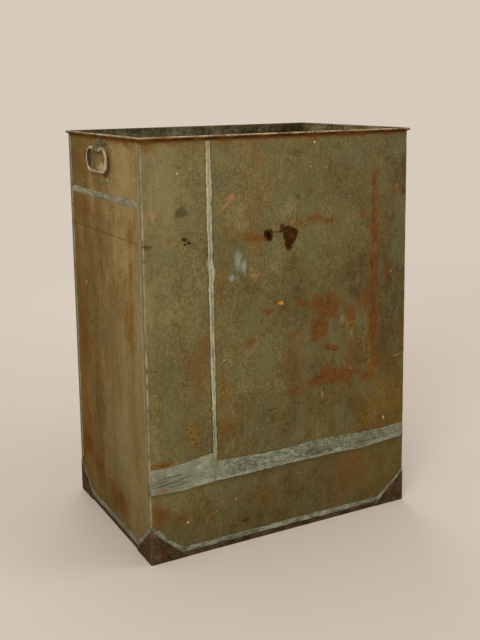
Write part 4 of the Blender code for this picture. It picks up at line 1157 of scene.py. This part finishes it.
def flange_fillet(place, side, toward, material):
    """Solder fillet along the edge of one flange."""
    node = "flange_fillet_" + place
    foot = CAP_HEIGHT + CAP_SOLDER_HEIGHT + 2 * CLEARANCE
    edge = HALF_DEPTH - FLANGE - CLEARANCE
    base = CLEARANCE - RECESS
    wide = FRONT_FILLET_WIDTH if place.startswith("front") else BACK_FILLET_WIDTH
    return solder_run(
        node, material,
        lambda distance, offset, proud: on_face(
            side, toward * (edge - offset), proud, foot + distance),
        FLANGE_TOP - foot, 0.0,
        lambda distance: wide * (1 + swelling(foot + distance, FILLET_SWELL)),
        base, sloping_section(SHEET), 22 + side + toward, FILLET_RAG)


# Solder of the base: its edges inside the CAD run, and its raggedness
BASE_RUN_LOW = 0.0012
BASE_RUN_HIGH = BASE_SOLDER_HEIGHT - 0.0006
BASE_RUN_RAG = 0.0016


def base_run(side, material):
    """Solder along the top of one upstand of the base."""
    node = "base_solder_" + SIDE_NAMES[side]
    half = half_sizes(side)[0] - CAP_REACH - CLEARANCE
    base = CLEARANCE if side in LONG_SIDES else CLEARANCE - RECESS
    foot = BASE_UPSTAND + CLEARANCE
    return solder_run(
        node, material,
        lambda distance, offset, proud: on_face(side, distance - half, proud, foot + offset),
        2 * half, BASE_RUN_LOW, BASE_RUN_HIGH, base, sloping_section(BASE_SOLDER_RISE),
        32 + side, BASE_RUN_RAG)


def cap_edge(from_corner):
    """Height of a corner cap at a distance from its corner."""
    return CAP_HEIGHT + (CAP_TIP - CAP_HEIGHT) * from_corner / CAP_REACH


# Solder of the caps: its edges, and swellings by distance from the corner
CAP_RUN_LOW = 0.0006
CAP_RUN_HIGH = CAP_SOLDER_HEIGHT - 0.0012
CAP_RUN_RAG = 0.0015
CAP_RUN_SWELL = (0.017, 0.014, 0.0034)
CAP_RUN_FULL = 0.0028
CAP_RUN_THINNING = (0.012, 0.040, -0.0042)
CAP_TIP_SWELL = (CAP_REACH, 0.020, 0.0044)


def cap_run(place, x, y, material):
    """Solder along the sloping edges of a corner cap, round its corner."""
    node = "cap_solder_" + place
    corner = Vector((x * HALF_WIDTH, y * HALF_DEPTH, 0))
    bend = FOLD_RADIUS * pi / 2
    reach = CAP_REACH - FOLD_RADIUS

    def around(distance, proud, up):
        """Point at a distance along the two faces: the front or back first, then the end."""
        if distance < reach:
            flat = Vector((CAP_REACH - distance, -proud, up))
        elif distance > reach + bend:
            flat = Vector((-proud, FOLD_RADIUS + distance - reach - bend, up))
        else:
            angle = (distance - reach) / FOLD_RADIUS
            radius = FOLD_RADIUS + proud
            flat = Vector((
                FOLD_RADIUS - radius * sin(angle), FOLD_RADIUS - radius * cos(angle), up))
        return corner + Vector((-x * flat.x, -y * flat.y, flat.z))

    def from_corner(distance):
        """Distance from the corner along the face that the point is on."""
        if distance < reach:
            return CAP_REACH - distance
        return max(FOLD_RADIUS, FOLD_RADIUS + distance - reach - bend)

    def base(distance):
        """What the solder lies on: the flange first, then the recessed end."""
        past = distance - reach - bend + FOLD_RADIUS
        share = min(1, max(0, (past - FLANGE - CLEARANCE) / (2 * CLEARANCE)))
        return CLEARANCE - RECESS * share

    def high(distance):
        """Upper edge: full near the corner and thin at the tips of the cap."""
        away = from_corner(distance)
        if place != "front_left":
            swell = swelling(away, CAP_RUN_THINNING)
        else:
            swell = swelling(away, CAP_RUN_SWELL) if distance < reach else CAP_RUN_FULL
        return CAP_RUN_HIGH + swell + swelling(away, CAP_TIP_SWELL)

    return solder_run(
        node, material,
        lambda distance, offset, proud: around(
            distance, proud, cap_edge(from_corner(distance)) + offset),
        2 * reach + bend, CAP_RUN_LOW, high, base, sloping_section(CAP_SHEET),
        42 + x + 2 * y, CAP_RUN_RAG)


# Waves of the bands' edges, from the left, as shares of BAND_WAVE
LONG_HEAD_WAVE_SHARES = (0.9, 0.3, -0.4, -0.3, 0.5, 0.3, -0.5, -0.7, 0.2)
LONG_FOOT_WAVE_SHARES = (0.2, 0.0, 0.2, 0.5, 0.3, 0.5, -0.2, 0.7, 1.6)
SHORT_HEAD_WAVE_SHARES = (-0.8, -1.2, -0.7, 0.5, 1.4)
SHORT_FOOT_WAVE_SHARES = (-0.3, -0.6, -1.0, -0.4, 0.2)

# Band: its hem as (rise, share of its thickness), and the raggedness of its edges
HEM_LEVELS = ((0, 0.6), (0.0008, 1), (0.0028, 1.02), (0.0048, 0.95))
HEM_TOP = 0.0064
HEAD_BEVEL = 0.0010
BAND_STEPS = 7
FOOT_RAG = 0.0005
FOOT_RAG_WAVE = 0.012
HEAD_RAG = 0.0009
HEAD_FINE_RAG = 0.0006
BAND_SWELL_SHARE = 0.12
BAND_SWELL_WAVE = 0.010


def wave(shares, share):
    """Height of a wavy edge at a share of its length, as a share of the wave."""
    spot = share * (len(shares) - 1)
    first = min(int(spot), len(shares) - 2)
    return shares[first] + (shares[first + 1] - shares[first]) * (spot - first)


def band(side, part, material):
    """Band over the joint of the front or back, with a doubled hem and a ragged edge."""
    node = SIDE_NAMES[side] + "_" + part
    short = part == "short_band"
    head = SHORT_BAND_HEAD if short else LONG_BAND_HEAD
    heads = SHORT_HEAD_WAVE_SHARES if short else LONG_HEAD_WAVE_SHARES
    feet = SHORT_FOOT_WAVE_SHARES if short else LONG_FOOT_WAVE_SHARES
    far = HALF_WIDTH - FOLD_RADIUS
    start = (lambda up: -far) if short else (lambda up: seam_at(up) + CLEARANCE / 2)
    end = (lambda up: seam_at(up) - CLEARANCE / 2) if short else (lambda up: far)
    single, hem = SHEET, 2 * SHEET
    length = end(BAND_FOOT) - start(BAND_FOOT)
    steps = round(length / STRIP_STEP)
    rows = []
    for k in range(steps + 1):
        share = k / steps
        middle = start(BAND_FOOT) + length * share
        low = BAND_FOOT + BAND_WAVE * wave(feet, share)
        low += FOOT_RAG * ripple((middle, 0, 0), FOOT_RAG_WAVE, side)
        top = head + BAND_WAVE * wave(heads, share)
        top += HEAD_RAG * ripple((middle, 0, 1), HIGH_WAVE, side)
        top += HEAD_FINE_RAG * ripple((middle, 0, 2), FINE_WAVE, side)
        levels = [(low + rise, part * hem) for rise, part in HEM_LEVELS]
        rest = top - HEAD_BEVEL - (low + HEM_TOP)
        levels += [(low + HEM_TOP + rest * j / BAND_STEPS, single) for j in range(BAND_STEPS + 1)]
        levels.append((top, 0.5 * single))
        row = []
        for up, thick in levels:
            along = start(up) + (end(up) - start(up)) * share
            swell = 1 + BAND_SWELL_SHARE * ripple((along, 0, up), BAND_SWELL_WAVE, side + 5)
            row.append((on_face(side, along, CLEARANCE + thick * swell, up),
                        on_face(side, along, CLEARANCE, up)))
        rows.append(row)
    return dress(closed_strip(node + "_sheet", rows), node, material)


# Copies of the nodes' own shapes: what is welded and joined again, and what is eased
WELD_DISTANCE = 1e-6
SAME_FACE_ANGLE = radians(12)
SAME_SHAPE_ANGLE = radians(60)
EASED_EDGE = 0.0002
SHARP_ANGLE = radians(40)


def welded_copy(node, name):
    """Copy of a node's mesh with its split corners welded and its faces whole."""
    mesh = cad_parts[node].data.copy()
    bm = bmesh.new()
    bm.from_mesh(mesh)
    bmesh.ops.remove_doubles(bm, verts=bm.verts, dist=WELD_DISTANCE)
    bmesh.ops.join_triangles(
        bm, faces=bm.faces, angle_face_threshold=SAME_FACE_ANGLE,
        angle_shape_threshold=SAME_SHAPE_ANGLE)
    bm.to_mesh(mesh)
    bm.free()
    mesh.shade_smooth()
    return add_object(name, mesh)


def handle_ring(side, material):
    """Smooth bent wire ring of a handle."""
    prefix = SIDE_NAMES[side] + "_handle"
    piece = welded_copy(prefix + "_ring", prefix + "_bail")
    rounder = piece.modifiers.new("rounder", "SUBSURF")
    rounder.levels = rounder.render_levels = 2
    return dress(piece, prefix + "_ring", material, prefix)


def softened(node, material):
    """A node's own shape with its sharp edges eased."""
    piece = welded_copy(node, node + "_eased")
    ease = piece.modifiers.new("ease", "BEVEL")
    ease.width = EASED_EDGE
    ease.segments = 2
    ease.limit_method = "ANGLE"
    ease.angle_limit = SHARP_ANGLE
    ease.harden_normals = True
    return dress(piece, node, material)


# Rust holes: their middles, the half size of the area round one, and their ragged lips
SMALL_HOLE_FROM_CORNER = 0.2415
SMALL_HOLE_DROP = 0.182
LARGE_HOLE_FROM_CORNER = 0.2875
LARGE_HOLE_DROP = 0.190
HOLE_HALF_AREA = (0.024, 0.028)
LIP_STEPS = 7
SMALL_LIP_WIDER = 1.7
LIP_REACH = 0.0013
LIP_TORN_REACH = 0.0022
LIP_ROUGH_REACH = 0.0008
LIP_SPREAD = 0.0016
LIP_TORN_SPREAD = 0.0010
LIP_ROUGH_SPREAD = 0.0006
LIP_TORN_WAVE = 0.0055
LIP_ROUGH_WAVE = 0.0022

# Section of a lip: how far proud its outer and under faces lie, from its foot on the
# sheet over its shoulder and the hole's edge to its tip inside the hole
LIP_FOOT = (0.00006, 0.00002)
LIP_SHOULDER = (0.00022, 0.00002)
LIP_SHOULDER_ROUGH = 0.00008
LIP_SHOULDER_SHARE = 0.45
LIP_EDGE = (0.00030, 0.00002)
LIP_BEND = (0.00005, -0.00035)
LIP_BEND_SHARE = 0.6
LIP_TIP = (-0.00045, -0.00060)


def hole_outline(middle):
    """Points of a rust hole's edge on the outside of the front, in order round its middle."""
    points = {}
    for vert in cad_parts["front_main_sheet"].data.vertices:
        spot = vert.co - middle
        near = abs(spot.x) < HOLE_HALF_AREA[0] and abs(spot.z) < HOLE_HALF_AREA[1]
        if near and abs(spot.y) < SHEET / 3:
            angle = atan2(spot.z, spot.x)
            points[round(angle, 4)] = Vector((spot.x, 0, spot.z))
    return [points[angle] for angle in sorted(points)]


def hole_lip(name, from_corner, up, material, wide=1.0):
    """Ragged lip of rust-thinned metal round a hole, bent in towards its middle."""
    middle = Vector((from_corner - HALF_WIDTH, -HALF_DEPTH, up))
    outline = hole_outline(middle)
    rows = []
    for k, first in enumerate(outline):
        second = outline[(k + 1) % len(outline)]
        for j in range(LIP_STEPS):
            point = first.lerp(second, j / LIP_STEPS)
            inward = -point.normalized()
            rough = ripple(point, LIP_ROUGH_WAVE, 3)
            torn = ripple(point, LIP_TORN_WAVE, 9)
            reach = wide * (LIP_REACH + LIP_TORN_REACH * max(0, torn)) + LIP_ROUGH_REACH * rough
            spread = LIP_SPREAD + LIP_TORN_SPREAD * torn + LIP_ROUGH_SPREAD * rough
            shoulder, shoulder_under = LIP_SHOULDER
            shoulder += LIP_SHOULDER_ROUGH * rough
            stations = (
                (-spread, *LIP_FOOT),
                (-spread * LIP_SHOULDER_SHARE, shoulder, shoulder_under),
                (0, *LIP_EDGE),
                (reach * LIP_BEND_SHARE, *LIP_BEND),
                (reach, *LIP_TIP),
            )
            rows.append([
                [middle + point + inward * past + Vector((0, -proud, 0)) for proud in (out, under)]
                for past, out, under in stations])
    piece = closed_strip(name, rows, looped=True)
    piece.data.materials.append(material)
    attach(piece, "trunk")


def set_finish(node, material):
    """Give a node that stays its finish."""
    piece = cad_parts[node]
    piece.data.materials.clear()
    piece.data.materials.append(material)


def dress_trunk():
    """Give every node its finish and lay the solder, bands, caps and handles."""
    pale = verdigris("pale_solder", PALE_SHADES, (6, 6, 1), 0.5)
    upright = verdigris("upright_solder", UPRIGHT_SHADES, (1, 1, 8), 0.5)
    grey = verdigris("grey_solder", GREY_SHADES, (5, 5, 1))
    for side in LONG_SIDES:
        name = SIDE_NAMES[side]
        bands = verdigris(
            name + "_band_verdigris", BAND_SHADES, (4, 4, 1), 0.45, band_side=side)
        seam = verdigris(
            name + "_seam_verdigris", SEAM_SHADES, (1, 1, 9), 0.5, seam_side=side)
        for part in ("strip_sheet", "main_sheet", "base_sheet"):
            set_finish(name + "_" + part, sheet_paint(side, name + "_" + part))
        for part in ("short_band", "long_band"):
            band(side, part, bands)
        seam_solder(side, seam)
    strap = corroded("strap_verdigris", STRAP_SHADES, 0.3)
    for side in ENDS:
        name = SIDE_NAMES[side]
        for part in ("top_sheet", "middle_sheet", "lower_sheet"):
            set_finish(name + "_" + part, sheet_paint(side, name + "_" + part))
        end_band(side, pale)
        handle_ring(side, worn_wire(side))
        plate = name + "_handle_plate"
        softened(plate, sheet_paint(side, plate))
        softened(name + "_handle_strap", strap)
    steel = corroded("blackened_steel", STEEL_SHADES, 0.25)
    rotten = corroded("rotten_edge", ROTTEN_SHADES, 0.2)
    set_finish("base_pan", steel)
    set_finish("rim_wire", steel)
    for side in range(4):
        base_run(side, grey)
    for place, x, y in (("front_left", -1, -1), ("front_right", 1, -1),
                        ("back_right", 1, 1), ("back_left", -1, 1)):
        softened("corner_cap_" + place, steel)
        cap_run(place, x, y, grey)
        end = RIGHT if x > 0 else LEFT
        flange_fillet(place, end, y if x > 0 else -y, upright)
    hole_lip(
        "small_hole_lip", SMALL_HOLE_FROM_CORNER, HEIGHT - SMALL_HOLE_DROP, rotten, SMALL_LIP_WIDER)
    hole_lip("large_hole_lip", LARGE_HOLE_FROM_CORNER, HEIGHT - LARGE_HOLE_DROP, rotten)


# Camera of the photograph, fitted to the trunk's corners
CAMERA_PLACE = (-0.8454, -1.6094, 0.8263)
CAMERA_YAW = 27.9803
CAMERA_PITCH = 9.0793
CAMERA_ROLL = -0.7589
CAMERA_LENS = 52.27
SENSOR_WIDTH = 36
CAMERA_SHIFT_UP = -0.1288


def add_camera():
    """Camera at the photograph's place."""
    lens = bpy.data.cameras.new("camera")
    lens.lens = CAMERA_LENS
    lens.sensor_width = SENSOR_WIDTH
    lens.shift_y = CAMERA_SHIFT_UP
    camera = add_object("camera", lens)
    camera.location = CAMERA_PLACE
    turn = Matrix.Rotation(-radians(CAMERA_YAW), 4, "Z")
    tilt = Matrix.Rotation(radians(90 - CAMERA_PITCH), 4, "X")
    roll = Matrix.Rotation(radians(CAMERA_ROLL), 4, "Z")
    camera.rotation_euler = (turn @ tilt @ roll).to_euler()
    bpy.context.scene.camera = camera


def add_lamp(name, place, size, power, colour):
    """Soft square lamp that faces the trunk."""
    data = bpy.data.lights.new(name, "AREA")
    data.size = size
    data.energy = power
    data.color = colour
    lamp = add_object(name, data)
    lamp.location = place
    aim = Vector((0, 0, HEIGHT / 2)) - Vector(place)
    lamp.rotation_euler = aim.to_track_quat("-Z", "Y").to_euler()


FLOOR_SHADE = shade(214, 202, 189)
FLOOR_HALF = 40.0
FADE_START = 0.9
FADE_END = 3.2
FLOOR_ROUGHNESS = 0.9
WORLD_STRENGTH = 0.55
WORLD_COLOUR = (1.0, 0.97, 0.93, 1)

# Lamps: name, place, size, power and colour
LAMPS = (
    ("key", (-1.9, -2.3, 2.3), 1.6, 60, (1.0, 0.97, 0.92)),
    ("fill", (2.4, -1.2, 1.6), 1.8, 18, (1.0, 0.98, 0.95)),
    ("rear", (0.8, 2.6, 2.0), 1.8, 26, (1.0, 0.98, 0.95)),
)


def add_floor():
    """Pale floor that fades into an even pale background."""
    mesh = bpy.data.meshes.new("floor")
    corners = [(-1, -1), (1, -1), (1, 1), (-1, 1)]
    mesh.from_pydata([(x * FLOOR_HALF, y * FLOOR_HALF, 0) for x, y in corners], [], [(0, 1, 2, 3)])
    add_object("floor", mesh)
    material = bpy.data.materials.new("pale_floor")
    material.use_nodes = True
    tree = material.node_tree
    shader = tree.nodes["Principled BSDF"]
    shader.inputs["Base Color"].default_value = FLOOR_SHADE
    shader.inputs["Roughness"].default_value = FLOOR_ROUGHNESS
    glow = add_node(tree, "ShaderNodeEmission", {"Color": FLOOR_SHADE})
    place = add_node(tree, "ShaderNodeTexCoord", {}, "Object")
    away = add_node(tree, "ShaderNodeVectorMath", {0: place}, "Value", operation="LENGTH")
    fade = add_node(
        tree, "ShaderNodeMapRange", {"Value": away, "From Min": FADE_START, "From Max": FADE_END},
        interpolation_type="SMOOTHSTEP")
    mixed = add_node(tree, "ShaderNodeMixShader", {0: fade, 1: shader.outputs[0], 2: glow})
    tree.links.new(mixed, tree.nodes["Material Output"].inputs["Surface"])
    mesh.materials.append(material)


def add_world():
    """Soft light all round, behind a background of the floor's colour."""
    world = bpy.data.worlds.new("studio")
    bpy.context.scene.world = world
    world.use_nodes = True
    tree = world.node_tree
    light = tree.nodes["Background"]
    light.inputs["Color"].default_value = WORLD_COLOUR
    light.inputs["Strength"].default_value = WORLD_STRENGTH
    seen = add_node(tree, "ShaderNodeBackground", {"Color": FLOOR_SHADE, "Strength": 1})
    rays = tree.nodes.new("ShaderNodeLightPath").outputs
    either = add_node(
        tree, "ShaderNodeMath", {0: rays["Is Camera Ray"], 1: rays["Is Glossy Ray"]},
        operation="MAXIMUM")
    mixed = add_node(tree, "ShaderNodeMixShader", {0: either, 1: light.outputs[0], 2: seen})
    tree.links.new(mixed, tree.nodes["World Output"].inputs["Surface"])


dress_trunk()
add_camera()
add_floor()
add_world()
for lamp in LAMPS:
    add_lamp(*lamp)
bpy.context.scene.view_settings.view_transform = "Standard"
